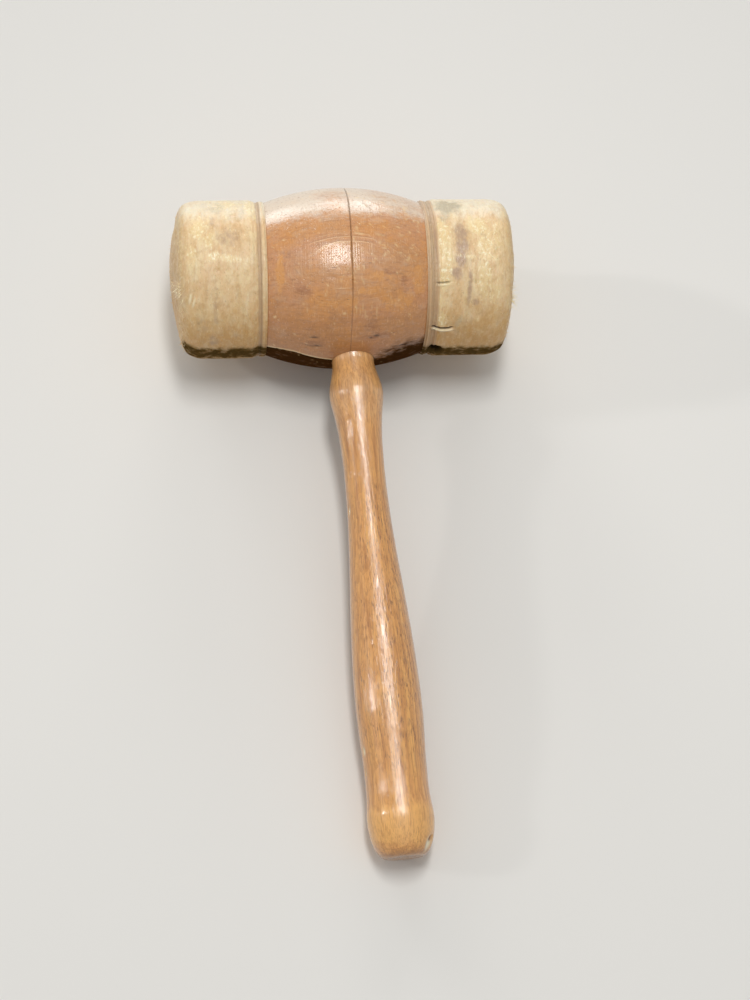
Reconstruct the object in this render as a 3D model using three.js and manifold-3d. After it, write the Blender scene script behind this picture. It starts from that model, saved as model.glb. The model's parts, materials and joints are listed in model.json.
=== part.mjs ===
// Hide-capped mallet: a turned hardwood barrel with a rawhide cap shrunk over each end,
// on a turned handle that goes right through the barrel and is wedged there.
// Millimetres, +Z up. It lies on its barrel and its butt: head along X, handle towards -Y.
// The origin is under the middle of the whole mallet, on the surface that it lies on.
import * as THREE from "three";
import { mergeVertices } from "three/addons/utils/BufferGeometryUtils.js";
import Module from "manifold-3d";

// Head, sizes along and across its axis
const barrelLength = 62.6; // the wood that shows between the two caps
const bellyRadius = 36.6;
const shoulderRadius = 30.2; // the barrel where it meets a cap
const spigotChamfer = 1.5;
const scribeOffset = 1.3; // the scribed line stands this far off the barrel's middle
const scribeWidth = 0.9;
const scribeDepth = 0.5;

// Rawhide caps
const leftCapLength = 38.6; // from its edge to its face, before the face wore
const rightCapLength = 39.9;
const capRadius = 31.75;
const capWall = 4.6;
const capFaceThickness = 7.5;
const faceFlatRadius = 6; // the middle of the face, hammered flat
const faceDomeRadius = 80;
const rimRound = 11;
const skirtDip = 0.95; // the hide is drawn in this far where it meets the barrel
const skirtDipLength = 3.6;
const skirtDipShares = [0.4, 0.4];
const beadRise = 0.45; // the rolled edge of the hide
const beadLength = 2.4;
const leftFaceWear = 2.6; // how much lower the face is worn on the handle's side
const rightFaceWear = 3.8;

// Handle, radii and the stretches between them, from the barrel to the butt
const neckRadius = 8.5;
const neckLength = 14.3;
const collarRadius = 10.85;
const collarToThroat = 33.3;
const throatRadius = 8.15;
const throatToSwell = 94;
const swellRadius = 12.7;
const swellToWaist = 27;
const gripWaistRadius = 11.8;
const waistToFlare = 13;
const flareRadius = 12.65;
const buttRoundLength = 15;
const buttFaceRadius = 6.5;
// How soon each stretch leaves one radius, and how early it settles at the next
const neckToCollarShares = [0.35, 0.35];
const collarToThroatShares = [0.12, 0.7];
const throatToSwellShares = [0.36, 0.38];
const swellToWaistShares = [0.3, 0.4];
const waistToFlareShares = [0.6, 0.25];
const handleSkew = THREE.MathUtils.degToRad(2.6); // the eye was bored a little out of square

// Wedge and the saw kerf that it spreads
const wedgeLength = 27;
const wedgeThickness = 3.4;
const wedgeTipThickness = 0.8;

// Fits and cuts
const fitGap = 0.3; // all round a glued or shrunk joint
const overrun = 5; // how far a cutter runs past what it cuts

// How finely round forms are drawn
const headSides = 48;
const handleSides = 32;
const bellySteps = 9;
const domeSteps = 4;
const rimSteps = 5;
const dipSteps = 3;
const spanSteps = 6;
const swellSteps = 9;
const buttSteps = 6;
const leanPasses = 20;

// Sizes that follow from the ones above
const barrelHalf = barrelLength / 2;
const capEdge = barrelHalf + fitGap;
const leftFaceAt = capEdge + leftCapLength;
const rightFaceAt = capEdge + rightCapLength;
const cavityRadius = capRadius - capWall;
const spigotRadius = cavityRadius - fitGap;
const tenonEnd = bellyRadius + overrun; // before it is trimmed flush
const collarAt = bellyRadius + neckLength;
const throatAt = collarAt + collarToThroat;
const swellAt = throatAt + throatToSwell;
const gripWaistAt = swellAt + swellToWaist;
const flareAt = gripWaistAt + waistToFlare;
const buttAt = flareAt + buttRoundLength;

// The belly is one arc from shoulder to shoulder, drawn in an odd number of steps,
// so that its middle step is a short straight land for the barrel to lie on
const bellyRise = bellyRadius - shoulderRadius;
const bellyArc = (barrelHalf ** 2 + bellyRise ** 2) / (2 * bellyRise);
const bellySpan = Math.asin(barrelHalf / bellyArc);
const landRadius = bellyRadius - bellyArc * (1 - Math.cos(bellySpan / bellySteps));

// The distance from a turned solid's axis to the middle of one of its flat sides
const apothem = (radius, sides) => radius * Math.cos(Math.PI / sides);

// The lean of the handle that brings the butt's round down to the surface under the barrel.
// The round is part of an oval, and how far it reaches down depends a little on the lean itself.
const axisHeight = apothem(landRadius, headSides);
function leanToSurface() {
  const ovalDrop = apothem(flareRadius - buttFaceRadius, handleSides);
  const ovalCentre = apothem(buttFaceRadius, handleSides);
  let lean = 0;
  for (let pass = 0; pass < leanPasses; pass++) {
    const reach = Math.hypot(buttRoundLength * Math.sin(lean), ovalDrop * Math.cos(lean));
    lean = Math.asin((axisHeight - ovalCentre * Math.cos(lean) - reach) / flareAt);
  }
  return lean;
}

const wasm = await Module();
wasm.setup();

// A closed geometry as a solid that can be joined and cut
function toSolid(geometry) {
  const bare = geometry.clone();
  bare.deleteAttribute("normal");
  bare.deleteAttribute("uv");
  const merged = mergeVertices(bare);
  const corners = merged.index.array;
  const triangles = [];
  for (let i = 0; i < corners.length; i += 3) {
    const [a, b, c] = corners.slice(i, i + 3);
    if (a !== b && b !== c && c !== a) triangles.push(a, b, c);
  }
  const mesh = new wasm.Mesh({
    numProp: 3,
    vertProperties: merged.attributes.position.array,
    triVerts: Uint32Array.from(triangles),
  });
  return new wasm.Manifold(mesh);
}

// A solid back as a geometry with shading normals
function toGeometry(solid) {
  const { vertProperties, triVerts } = solid.getMesh();
  const positions = new THREE.BufferAttribute(Float32Array.from(vertProperties), 3);
  const geometry = new THREE.BufferGeometry().setAttribute("position", positions);
  geometry.setIndex(new THREE.BufferAttribute(Uint32Array.from(triVerts), 1));
  geometry.computeVertexNormals();
  return geometry;
}

// A form turned about Y from [radius, height] points, with a flat side facing down
function turned(outline, sides) {
  const points = outline.map(([radius, height]) => new THREE.Vector2(radius, height));
  return new THREE.LatheGeometry(points, sides, Math.PI / sides);
}

// Points along a round or oval stretch of an outline, its angles counted from the turning axis
function arcPoints([radius, height], across, along, from, to, steps) {
  const points = [];
  for (let i = 0; i <= steps; i++) {
    const angle = THREE.MathUtils.lerp(from, to, i / steps);
    points.push([radius + across * Math.sin(angle), height + along * Math.cos(angle)]);
  }
  return points;
}

// Points of a smooth stretch that leaves one radius and arrives at the next along the axis
function easedPoints([fromRadius, from], [toRadius, to], [leaveShare, arriveShare], steps) {
  const curve = new THREE.CubicBezierCurve(
    new THREE.Vector2(fromRadius, from),
    new THREE.Vector2(fromRadius, THREE.MathUtils.lerp(from, to, leaveShare)),
    new THREE.Vector2(toRadius, THREE.MathUtils.lerp(to, from, arriveShare)),
    new THREE.Vector2(toRadius, to),
  );
  return curve.getPoints(steps).map((point) => [point.x, point.y]);
}

// A geometry of one frame, as it lies in the space of another frame
function carried(geometry, from, to) {
  const shift = to.matrixWorld.clone().invert().multiply(from.matrixWorld);
  return geometry.clone().applyMatrix4(shift);
}

// Frames: the mallet, the head's two outward axes, and the handle's axis with its butt at -Y
const mallet = new THREE.Group();
mallet.name = "hide_capped_mallet";
const rightward = new THREE.Group();
rightward.rotation.z = -Math.PI / 2;
const leftward = new THREE.Group();
leftward.rotation.z = Math.PI / 2;
const skewed = new THREE.Group();
skewed.position.x = scribeOffset;
skewed.rotation.z = handleSkew;
const handleFrame = new THREE.Group();
handleFrame.rotation.x = leanToSurface();
skewed.add(handleFrame);
mallet.add(rightward, leftward, skewed);
mallet.position.z = axisHeight;
mallet.updateMatrixWorld(true);

// Materials
const barrelWood = new THREE.MeshStandardMaterial({ color: 0xad7b50, roughness: 0.42, metalness: 0 });
const rawhide = new THREE.MeshStandardMaterial({ color: 0xcfb488, roughness: 0.55, metalness: 0 });
const handleWood = new THREE.MeshStandardMaterial({ color: 0xbc864c, roughness: 0.3, metalness: 0 });
const wedgeWood = new THREE.MeshStandardMaterial({ color: 0x6f472a, roughness: 0.6, metalness: 0 });

function addPiece(name, geometry, material, frame) {
  const mesh = new THREE.Mesh(geometry, material);
  mesh.name = name;
  frame.add(mesh);
}

// The barrel as it leaves the lathe: a belly between two shoulders, and a spigot for each cap
function barrelBlank() {
  const leftEnd = leftFaceAt - capFaceThickness - fitGap;
  const rightEnd = rightFaceAt - capFaceThickness - fitGap;
  const arcCentre = [bellyRadius - bellyArc, 0];
  const from = Math.PI / 2 + bellySpan;
  const to = Math.PI / 2 - bellySpan;
  const belly = arcPoints(arcCentre, bellyArc, bellyArc, from, to, bellySteps);
  const chamferRadius = spigotRadius - spigotChamfer;
  const outline = [
    [0, -leftEnd], [chamferRadius, -leftEnd],
    [spigotRadius, spigotChamfer - leftEnd], [spigotRadius, -barrelHalf],
    ...belly,
    [spigotRadius, barrelHalf], [spigotRadius, rightEnd - spigotChamfer],
    [chamferRadius, rightEnd], [0, rightEnd],
  ];
  return turned(outline, headSides);
}

// The ring that the point of a scribing tool takes out of the belly
function scribeRing() {
  const outer = bellyRadius + overrun;
  const spread = (scribeWidth / 2) * (1 + overrun / scribeDepth);
  const outline = [
    [outer, scribeOffset - spread], [outer, scribeOffset + spread],
    [bellyRadius - scribeDepth, scribeOffset], [outer, scribeOffset - spread],
  ];
  return turned(outline, headSides);
}

// A plain round bar along the handle's axis, right through the head
function eyeBar(radius) {
  return turned([[0, -tenonEnd], [radius, -tenonEnd], [radius, tenonEnd], [0, tenonEnd]], handleSides);
}

// The barrel with its scribed line and the eye that the handle goes through
function headBarrel() {
  const eye = carried(eyeBar(neckRadius + fitGap), handleFrame, rightward);
  return toGeometry(toSolid(barrelBlank()).subtract(toSolid(scribeRing())).subtract(toSolid(eye)));
}

// What stands proud of the barrel at the wedged end of the eye, and is trimmed away
function eyeTrimmings() {
  const side = 2 * bellyRadius;
  const waste = new THREE.BoxGeometry(side, tenonEnd, side);
  waste.translate(0, tenonEnd / 2 + bellyRadius / 2, 0);
  return toSolid(waste).subtract(toSolid(carried(barrelBlank(), rightward, handleFrame)));
}

// A taper across the eye: the wedge itself, or with a margin the kerf that takes it
function wedgeTaper(margin) {
  const tipAt = bellyRadius - wedgeLength;
  const slope = (wedgeThickness - wedgeTipThickness) / 2 / wedgeLength;
  const halfTip = wedgeTipThickness / 2 + margin;
  const halfEnd = halfTip + slope * (tenonEnd + overrun - tipAt);
  const shape = new THREE.Shape([
    new THREE.Vector2(-halfTip, tipAt - margin),
    new THREE.Vector2(halfTip, tipAt - margin),
    new THREE.Vector2(halfEnd, tenonEnd + overrun),
    new THREE.Vector2(-halfEnd, tenonEnd + overrun),
  ]);
  const depth = 2 * (neckRadius + overrun);
  const taper = new THREE.ExtrudeGeometry(shape, { depth, bevelEnabled: false });
  return taper.translate(0, 0, -depth / 2);
}

// The handle: butt, grip, throat and collar, and the tenon with its kerf
function handle() {
  const butt = arcPoints(
    [buttFaceRadius, -flareAt], flareRadius - buttFaceRadius, -buttRoundLength, Math.PI / 2, 0, buttSteps,
  );
  const neck = [neckRadius, -bellyRadius];
  const collar = [collarRadius, -collarAt];
  const throat = [throatRadius, -throatAt];
  const swell = [swellRadius, -swellAt];
  const gripWaist = [gripWaistRadius, -gripWaistAt];
  const flare = [flareRadius, -flareAt];
  const stretches = [
    easedPoints(neck, collar, neckToCollarShares, spanSteps),
    easedPoints(collar, throat, collarToThroatShares, spanSteps),
    easedPoints(throat, swell, throatToSwellShares, swellSteps),
    easedPoints(swell, gripWaist, swellToWaistShares, spanSteps),
    easedPoints(gripWaist, flare, waistToFlareShares, spanSteps),
  ];
  const outline = [[0, tenonEnd], [neckRadius, tenonEnd], neck];
  for (const stretch of stretches) outline.push(...stretch.slice(1));
  outline.push(...butt.slice(1), [0, -buttAt]);
  outline.reverse();
  const whole = toSolid(turned(outline, handleSides));
  return toGeometry(whole.subtract(eyeTrimmings()).subtract(toSolid(wedgeTaper(fitGap))));
}

// The wedge, as wide as the tenon that it spreads and trimmed flush with it
function tenonWedge() {
  const bar = toSolid(eyeBar(neckRadius));
  return toGeometry(toSolid(wedgeTaper(0)).intersect(bar).subtract(eyeTrimmings()));
}

// A cap of rawhide: a cup with a rolled edge, a rounded rim and a domed face.
// The face is worn back towards the handle, which is at +X of its frame where side is 1.
function hideCap(faceAt, wear, side) {
  const cavityFloor = faceAt - capFaceThickness;
  const domeCentre = faceAt - Math.sqrt(faceDomeRadius ** 2 - faceFlatRadius ** 2);
  const rimCentre = capRadius - rimRound;
  const rimAt = domeCentre + Math.sqrt((faceDomeRadius - rimRound) ** 2 - rimCentre ** 2);
  const flatAngle = Math.asin(faceFlatRadius / faceDomeRadius);
  const rimAngle = Math.atan2(rimCentre, rimAt - domeCentre);
  const rim = arcPoints([rimCentre, rimAt], rimRound, rimRound, Math.PI / 2, rimAngle, rimSteps);
  const dome = arcPoints([0, domeCentre], faceDomeRadius, faceDomeRadius, rimAngle, flatAngle, domeSteps);
  const dipRadius = capRadius - skirtDip;
  const beadEnd = capEdge + beadLength;
  const outline = [
    [0, cavityFloor], [cavityRadius, cavityFloor], [cavityRadius, capEdge],
    [dipRadius, capEdge], [dipRadius + beadRise, capEdge + beadLength / 2],
    ...easedPoints([dipRadius, beadEnd], [capRadius, beadEnd + skirtDipLength], skirtDipShares, dipSteps),
    ...rim, ...dome.slice(1), [0, faceAt],
  ];
  const cap = turned(outline, headSides);
  const places = cap.attributes.position;
  for (let i = 0; i < places.count; i++) {
    const depthShare = Math.max(0, (places.getY(i) - cavityFloor) / capFaceThickness);
    const towardsHandleShare = (1 + (side * places.getX(i)) / capRadius) / 2;
    places.setY(i, places.getY(i) - wear * depthShare * towardsHandleShare);
  }
  return toGeometry(toSolid(cap));
}

addPiece("head_barrel", headBarrel(), barrelWood, rightward);
addPiece("right_hide_cap", hideCap(rightFaceAt, rightFaceWear, 1), rawhide, rightward);
addPiece("left_hide_cap", hideCap(leftFaceAt, leftFaceWear, -1), rawhide, leftward);
addPiece("handle", handle(), handleWood, handleFrame);
addPiece("tenon_wedge", tenonWedge(), wedgeWood, handleFrame);

// The origin goes under the middle of the whole mallet
const reach = new THREE.Box3().setFromObject(mallet, true);
const middle = reach.getCenter(new THREE.Vector3());
mallet.position.sub(new THREE.Vector3(middle.x, middle.y, reach.min.z));

export default mallet;
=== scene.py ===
# The looks of the hide-capped mallet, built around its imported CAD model
import json
import math
import random
from functools import partial
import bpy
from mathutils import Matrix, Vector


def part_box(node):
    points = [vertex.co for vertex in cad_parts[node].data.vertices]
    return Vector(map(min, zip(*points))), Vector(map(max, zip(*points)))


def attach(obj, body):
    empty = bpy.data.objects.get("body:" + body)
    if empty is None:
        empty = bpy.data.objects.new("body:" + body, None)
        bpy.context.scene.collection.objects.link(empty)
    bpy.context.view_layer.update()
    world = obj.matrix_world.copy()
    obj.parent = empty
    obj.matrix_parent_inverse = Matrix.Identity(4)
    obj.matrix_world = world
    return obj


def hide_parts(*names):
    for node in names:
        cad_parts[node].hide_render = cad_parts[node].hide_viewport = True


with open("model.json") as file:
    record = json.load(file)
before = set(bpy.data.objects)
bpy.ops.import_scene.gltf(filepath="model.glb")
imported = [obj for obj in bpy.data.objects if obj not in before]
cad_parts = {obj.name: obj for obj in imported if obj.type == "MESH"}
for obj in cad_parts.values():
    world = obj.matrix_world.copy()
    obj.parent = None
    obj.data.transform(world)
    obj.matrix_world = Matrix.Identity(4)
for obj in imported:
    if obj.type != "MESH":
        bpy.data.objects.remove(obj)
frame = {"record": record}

from types import SimpleNamespace

import bmesh
import bpy
import numpy as np
from bpy.props import FloatProperty, FloatVectorProperty, PointerProperty
from mathutils import Matrix, Vector, noise

bl_info = {
    "name": "Hide-capped mallet",
    "version": (1, 0, 0),
    "blender": (4, 5, 0),
    "location": "View3D > Sidebar > Mallet",
    "description": "Builds the looks of a wooden mallet with rawhide caps around its packed model",
    "category": "Add Mesh",
}

MM = 0.001
DEG = math.pi / 180
SHARP_ANGLE = 42 * DEG

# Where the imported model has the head's axis and the handle's, in mm like every form below
left_low, left_high = (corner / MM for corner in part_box("left_hide_cap"))
right_low, right_high = (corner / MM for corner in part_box("right_hide_cap"))
HEAD_MIDDLE = Vector((
    (left_high.x + right_low.x) / 2,
    (left_low.y + left_high.y) / 2,
    (left_low.z + left_high.z) / 2,
))
HEAD_AXES = Matrix.Identity(3)
CAP_RADIUS = (left_high.z - left_low.z) / 2
BUTT = next(mount for mount in frame["record"]["mounts"] if mount["name"] == "butt_end")
HANDLE_LINE = Vector(BUTT["axis"]).normalized()
HANDLE_SIDE = Vector((0, 0, 1)).cross(HANDLE_LINE).normalized()
HANDLE_TOP = HANDLE_LINE.cross(HANDLE_SIDE)
HANDLE_AXES = Matrix((HANDLE_LINE, HANDLE_SIDE, HANDLE_TOP)).transposed()
# The CAD handle is turned with flat sides, and its flats are what rests on the floor
HANDLE_SIDES = 32
HANDLE_FIT = math.cos(math.pi / HANDLE_SIDES)


def linear(hex_colour):
    """An sRGB hex colour as the linear colour that a material takes."""
    channels = [int(hex_colour[i:i + 2], 16) / 255 for i in (1, 3, 5)]
    return tuple(c / 12.92 if c <= 0.04045 else ((c + 0.055) / 1.055) ** 2.4 for c in channels)


def length(name, description, millimetres):
    """A size of the mallet that a user may change."""
    return FloatProperty(
        name=name, description=description, default=millimetres * MM, min=0, unit="LENGTH", precision=5,
    )


def tint(name, description, hex_colour):
    """A colour of the mallet that a user may change."""
    return FloatVectorProperty(
        name=name, description=description, default=linear(hex_colour), min=0, max=1, size=3, subtype="COLOR",
    )


class MalletBarrel(bpy.types.PropertyGroup):
    """Sizes and colours of the turned barrel."""

    belly_radius: length("Belly radius", "Half the thickness of the barrel's middle", HEAD_MIDDLE.z)
    shoulder_radius: length("Shoulder radius", "Half the thickness where the caps begin", 30.5)
    barrel_length: length("Barrel length", "Wood that shows between the caps", 62.6)
    spigot_radius: length("Spigot radius", "Half the thickness of the ends inside the caps", 26.8)
    spigot_chamfer: length("Spigot chamfer", "Bevel on the end of each spigot", 1.5)
    left_end: length("Left end", "From the barrel's middle to the end of its left spigot", 62.4)
    right_end: length("Right end", "From the barrel's middle to the end of its right spigot", 63.7)
    eye_radius: length("Eye radius", "Half the width of the bored eye", 8.64)
    scribe_offset: length("Scribe offset", "How far the scribed line stands right of the middle", 1.2)
    scribe_width: length("Scribe width", "Width of the scribed line", 0.8)
    scribe_depth: length("Scribe depth", "Depth of the scribed line", 0.45)
    wood: tint("Wood", "The barrel's brown", "#c48c58")
    late_wood: tint("Late wood", "The dark line of each growth ring", "#93603a")
    early_wood: tint("Early wood", "The pale side of each growth ring", "#e9c08f")
    orange: tint("Orange", "Warm patches of the wood", "#d28f48")
    rosy: tint("Rosy", "Pinkish patches of the wood", "#c48a60")
    # Painted shade: the barrel's low side made browner and darker
    low: tint("Low", "The browner wood on the low side", "#ab6f34")
    warm: tint("Warm", "Orange spots in the wood", "#d4934c")
    shade: tint("Shade", "Maroon spots in the wood", "#8a5532")
    # Partly wear and partly a painted sheen: the pale of light glancing off the barrel's top
    worn: tint("Worn", "Wood bleached by wear", "#e2dac8")
    # Also painted glints: pale specks strewn in the barrel's highlight, and a pale line on the check's upper
    # edge that is partly fresh wood and partly a painted edge highlight
    nick: tint("Nick", "Fresh wood in small nicks", "#e8c892")
    # Dirt together with painted shade on the barrel's low side and under the check
    grime: tint("Grime", "Old dirt low on the barrel", "#4b2c0c")
    # Also the darkest spots over the low side's dirt and painted shade
    ink: tint("Ink", "The darkest dirt, in lines and pits", "#2a1a10")


class MalletCaps(bpy.types.PropertyGroup):
    """Sizes and colours of the two rawhide caps."""

    edge: length("Edge", "From the barrel's middle to the edge of each cap", 31.33)
    left_length: length("Left length", "From the left cap's edge to its unworn face", 38.82)
    right_length: length("Right length", "From the right cap's edge to its unworn face", 40.12)
    wall: length("Wall", "Thickness of the hide round the spigot", 4.6)
    face_thickness: length("Face thickness", "Thickness of the hide on the face", 7.5)
    flat_radius: length("Flat radius", "Half the width of the hammered flat", 6)
    dome_radius: length("Dome radius", "Radius of the domed face", 80)
    rim_round: length("Rim round", "Radius between the side and the face", 11)
    dip: length("Dip", "How far the hide is drawn in by the barrel", 0.95)
    dip_length: length("Dip length", "Length of the drawn-in stretch", 3.6)
    bead_rise: length("Bead rise", "Height of the rolled edge", 0.45)
    bead_length: length("Bead length", "Length of the rolled edge", 2.5)
    left_wear: length("Left wear", "How much lower the left face is on the handle's side", 2.6)
    right_wear: length("Right wear", "How much lower the right face is on the handle's side", 3.8)
    hide: tint("Hide", "The caps' tan", "#e1bd8d")
    cream: tint("Cream", "Paler clouds in the hide", "#eed9ab")
    streak: tint("Streak", "Browner streaks in the hide", "#c39b67")
    # Painted shade: the caps' low side made browner and darker
    low: tint("Low", "The browner hide on the low side", "#c8954c")
    # Partly wear and partly a painted sheen: the pale of light glancing off the caps' tops
    bleached: tint("Bleached", "Hide bleached by wear", "#eae8d6")
    # Also painted as glints on the left cap, in the band where the lamp's highlight falls
    polish: tint("Polish", "Rubbed, shiny patches", "#ecd29a")
    scratch: tint("Scratch", "Pale scratches and torn fibres", "#f8ebc6")
    stain: tint("Stain", "Mauve stains", "#ab8c74")
    grey: tint("Grey", "Greyed patches", "#ada083")
    skirt: tint("Skirt", "The grey-brown edge by the barrel", "#ab8a6b")
    rim: tint("Rim", "The orange-tan band round each face", "#c79d5e")
    # Dirt together with painted shade on the caps' low side
    dirt: tint("Dirt", "Dirt on the low side", "#57431f")
    # Painted into crease slits, the hole and the valley behind the bead, and the darkest spots over the low
    # side's dirt and painted shade
    pit: tint("Pit", "The darkest dirt, in creases", "#1e140b")


class MalletHandle(bpy.types.PropertyGroup):
    """Sizes and colours of the turned handle and its wedge."""

    neck_radius: length("Neck radius", "Half the thickness at the barrel", 8.5)
    collar_radius: length("Collar radius", "Half the thickness of the collar", 10.85)
    throat_radius: length("Throat radius", "Half the thickness of the throat", 8.15)
    swell_radius: length("Swell radius", "Half the thickness of the grip's swell", 12.7)
    waist_radius: length("Waist radius", "Half the thickness of the grip's waist", 11.8)
    flare_radius: length("Flare radius", "Half the thickness before the butt", 12.65)
    butt_radius: length("Butt radius", "Half the width of the flat on the butt", 6.5)
    neck_at: length("Neck at", "From the head's axis to where the neck begins", 36.6)
    collar_at: length("Collar at", "From the head's axis to the collar", 50.9)
    throat_at: length("Throat at", "From the head's axis to the throat", 84.2)
    swell_at: length("Swell at", "From the head's axis to the swell", 178.2)
    waist_at: length("Waist at", "From the head's axis to the grip's waist", 205.2)
    flare_at: length("Flare at", "From the head's axis to the flare", 218.2)
    butt_at: length("Butt at", "From the head's axis to the end of the butt", 233.2)
    wedge_length: length("Wedge length", "From the wedge's tip to the barrel's surface", 27)
    wedge_thickness: length("Wedge thickness", "Thickness of the wedge at the surface", 3.4)
    wedge_tip: length("Wedge tip", "Thickness of the wedge at its tip", 0.8)
    wood: tint("Wood", "The handle's honey brown", "#db9c54")
    dark_grain: tint("Dark grain", "Darker bands of the grain", "#a06226")
    # Also the paler band round the flare: painted light, as on a surface that faces up
    pale_grain: tint("Pale grain", "Paler bands of the grain", "#ecb160")
    pore: tint("Pore", "Short dark streaks of open pores", "#744721")
    smudge: tint("Smudge", "Greyish handling marks", "#8f6f50")
    end_grain: tint("End grain", "Wood cut across, darker", "#8a5c34")
    chip: tint("Chip", "Bare wood in chips", "#e8dab6")
    wedge: tint("Wedge", "The wedge's end grain", "#6f472a")


class MalletStage(bpy.types.PropertyGroup):
    """The floor, the lights and the camera's distance."""

    floor: tint("Floor", "The plain pale floor", "#e4e2dd")
    floor_reach: length("Floor reach", "Half the width of the floor", 4000)
    view_distance: length("View distance", "From the camera to the point it looks at", 710)
    lamp_power: FloatProperty(name="Lamp", description="Lamp overhead", default=4.2, min=0, unit="POWER")
    top_strength: FloatProperty(name="Top", description="Broad soft light from overhead", default=0.38, min=0)
    side_strength: FloatProperty(name="Side", description="Low light from the left", default=0.32, min=0)
    back_strength: FloatProperty(name="Back", description="Two low lights from behind", default=0.63, min=0)
    sky: FloatProperty(name="Sky", description="Level of the even light all round", default=0.32, min=0)
    backdrop: tint("Backdrop", "What shows beyond the floor and in reflections", "#e2e0db")


def in_mm(look):
    """The sizes of a piece in mm and its colours, under the names that they have in its group."""
    values = {name: getattr(look, name) for name in type(look).__annotations__}
    return SimpleNamespace(**{
        name: value / MM if isinstance(value, float) else tuple(value) for name, value in values.items()
    })


# Meshes

def stations(coarse, *fine):
    """Rising positions at a coarse step, finer over some stretches; each is (from, to, step)."""
    low, high, step = coarse
    places = np.linspace(low, high, round((high - low) / step) + 1)
    for start, end, step in fine:
        inside = np.linspace(start, end, round((end - start) / step) + 1)
        places = np.sort(np.concatenate([places[(places < start) | (places > end)], inside]))
    return places


def arc(centre, across, along, start, end, steps):
    """Points (along, radius) of a round or oval stretch, angles in radians from the axis."""
    turn = np.linspace(start, end, steps + 1)
    return np.stack([centre[0] + along * np.cos(turn), centre[1] + across * np.sin(turn)], 1)


def eased(start, end, leave, arrive, steps):
    """Points (along, radius) of a smooth stretch that leaves and arrives in line with the axis."""
    t = np.linspace(0, 1, steps + 1)[:, None]
    run = end[0] - start[0]
    first = np.array([start[0] + leave * run, start[1]])
    second = np.array([end[0] - arrive * run, end[1]])
    bent = 3 * (1 - t) ** 2 * t * first + 3 * (1 - t) * t ** 2 * second
    return (1 - t) ** 3 * np.array(start) + bent + t ** 3 * np.array(end)


def turned(outline, angles, depth=0.0):
    """Rings of a turned form, pressed in by a depth. x runs along its axis, and the angles in degrees
    start at +z and turn towards -y."""
    travel = np.gradient(outline, axis=0)
    out = np.stack([-travel[:, 1], travel[:, 0]], 1)
    out /= np.linalg.norm(out, axis=1, keepdims=True)
    along = outline[:, :1] - depth * out[:, :1]
    radius = outline[:, 1:] - depth * out[:, 1:]
    turn = angles * DEG
    return np.stack([along + 0 * turn, -radius * np.sin(turn), radius * np.cos(turn)], -1)


def unwound(points):
    """How far along the axis of a turned form points lie, and at what angle round it in degrees."""
    return points[..., 0], np.arctan2(-points[..., 1], points[..., 2]) / DEG


def placed(points, origin, axes):
    """Points of a form's own frame, in the frame of the whole mallet."""
    return points @ np.array(axes).T + np.array(origin)


def skin(name, forms, origin=HEAD_MIDDLE, axes=HEAD_AXES):
    """A mesh object in metres, made of closed forms in mm. Each is a stack of rings, shut by a fan at
    both ends."""
    points = []
    faces = []
    base = 0
    for rings in forms:
        count, sides = rings.shape[:2]
        here = np.arange(sides)
        after = np.roll(here, -1)
        points += [rings.reshape(-1, 3), rings[:1].mean(1), rings[-1:].mean(1)]
        for row in base + sides * np.arange(count - 1):
            faces += np.stack([row + here, row + after, row + sides + after, row + sides + here], 1).tolist()
        last = base + sides * (count - 1)
        tip = np.full(sides, last + sides)
        faces += np.stack([base + after, base + here, tip], 1).tolist()
        faces += np.stack([last + here, last + after, tip + 1], 1).tolist()
        base = last + sides + 2
    mesh = bpy.data.meshes.new(name)
    mesh.from_pydata((placed(np.concatenate(points), origin, axes) * MM).tolist(), [], faces)
    shell = bmesh.new()
    shell.from_mesh(mesh)
    bmesh.ops.recalc_face_normals(shell, faces=shell.faces)
    shell.to_mesh(mesh)
    shell.free()
    piece = bpy.data.objects.new(name, mesh)
    bpy.context.scene.collection.objects.link(piece)
    return piece


def cut_away(piece, cutter):
    """Takes the cutter's form out of a piece, and then removes the cutter."""
    before = len(piece.data.vertices)
    cut = piece.modifiers.new("cut", "BOOLEAN")
    cut.operation = "DIFFERENCE"
    cut.solver = "MANIFOLD"
    cut.object = cutter
    depsgraph = bpy.context.evaluated_depsgraph_get()
    made = bpy.data.meshes.new_from_object(piece.evaluated_get(depsgraph))
    piece.modifiers.clear()
    piece.data = made
    made.name = piece.name
    bpy.data.objects.remove(cutter)
    if len(made.vertices) == before:
        raise RuntimeError(f"nothing was cut out of {piece.name}")


def own_points(piece, origin=HEAD_MIDDLE, axes=HEAD_AXES):
    """A piece's points in mm, in the frame of the form that it belongs to."""
    points = np.empty(len(piece.data.vertices) * 3, np.float32)
    piece.data.vertices.foreach_get("co", points)
    return (points.reshape(-1, 3).astype(float) / MM - np.array(origin)) @ np.array(axes)


def keep(piece, **fields):
    """Stores numbers or vectors at each point of a piece, for its material to read."""
    for name, values in fields.items():
        kind, part = ("FLOAT_VECTOR", "vector") if values.ndim == 2 else ("FLOAT", "value")
        field = piece.data.attributes.new(name, kind, "POINT")
        field.data.foreach_set(part, values.astype(np.float32).ravel())


def dress(piece, material, slot, *nodes):
    """Shades a piece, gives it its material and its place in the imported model."""
    piece.data.shade_smooth()
    piece.data.set_sharp_from_angle(angle=SHARP_ANGLE)
    piece.data.materials.clear()
    piece.data.materials.append(material)
    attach(piece, "root")
    if nodes:
        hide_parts(*nodes)


def unevenness(points, size, seed):
    """Smooth values from -1 to 1 over the points, with bumps about a size apart."""
    shift = Vector((17.3, 5.1, 9.7)) * seed
    flat = (points.reshape(-1, 3) / size).tolist()
    return np.array([noise.noise(Vector(p) + shift) for p in flat]).reshape(points.shape[:-1])


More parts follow.
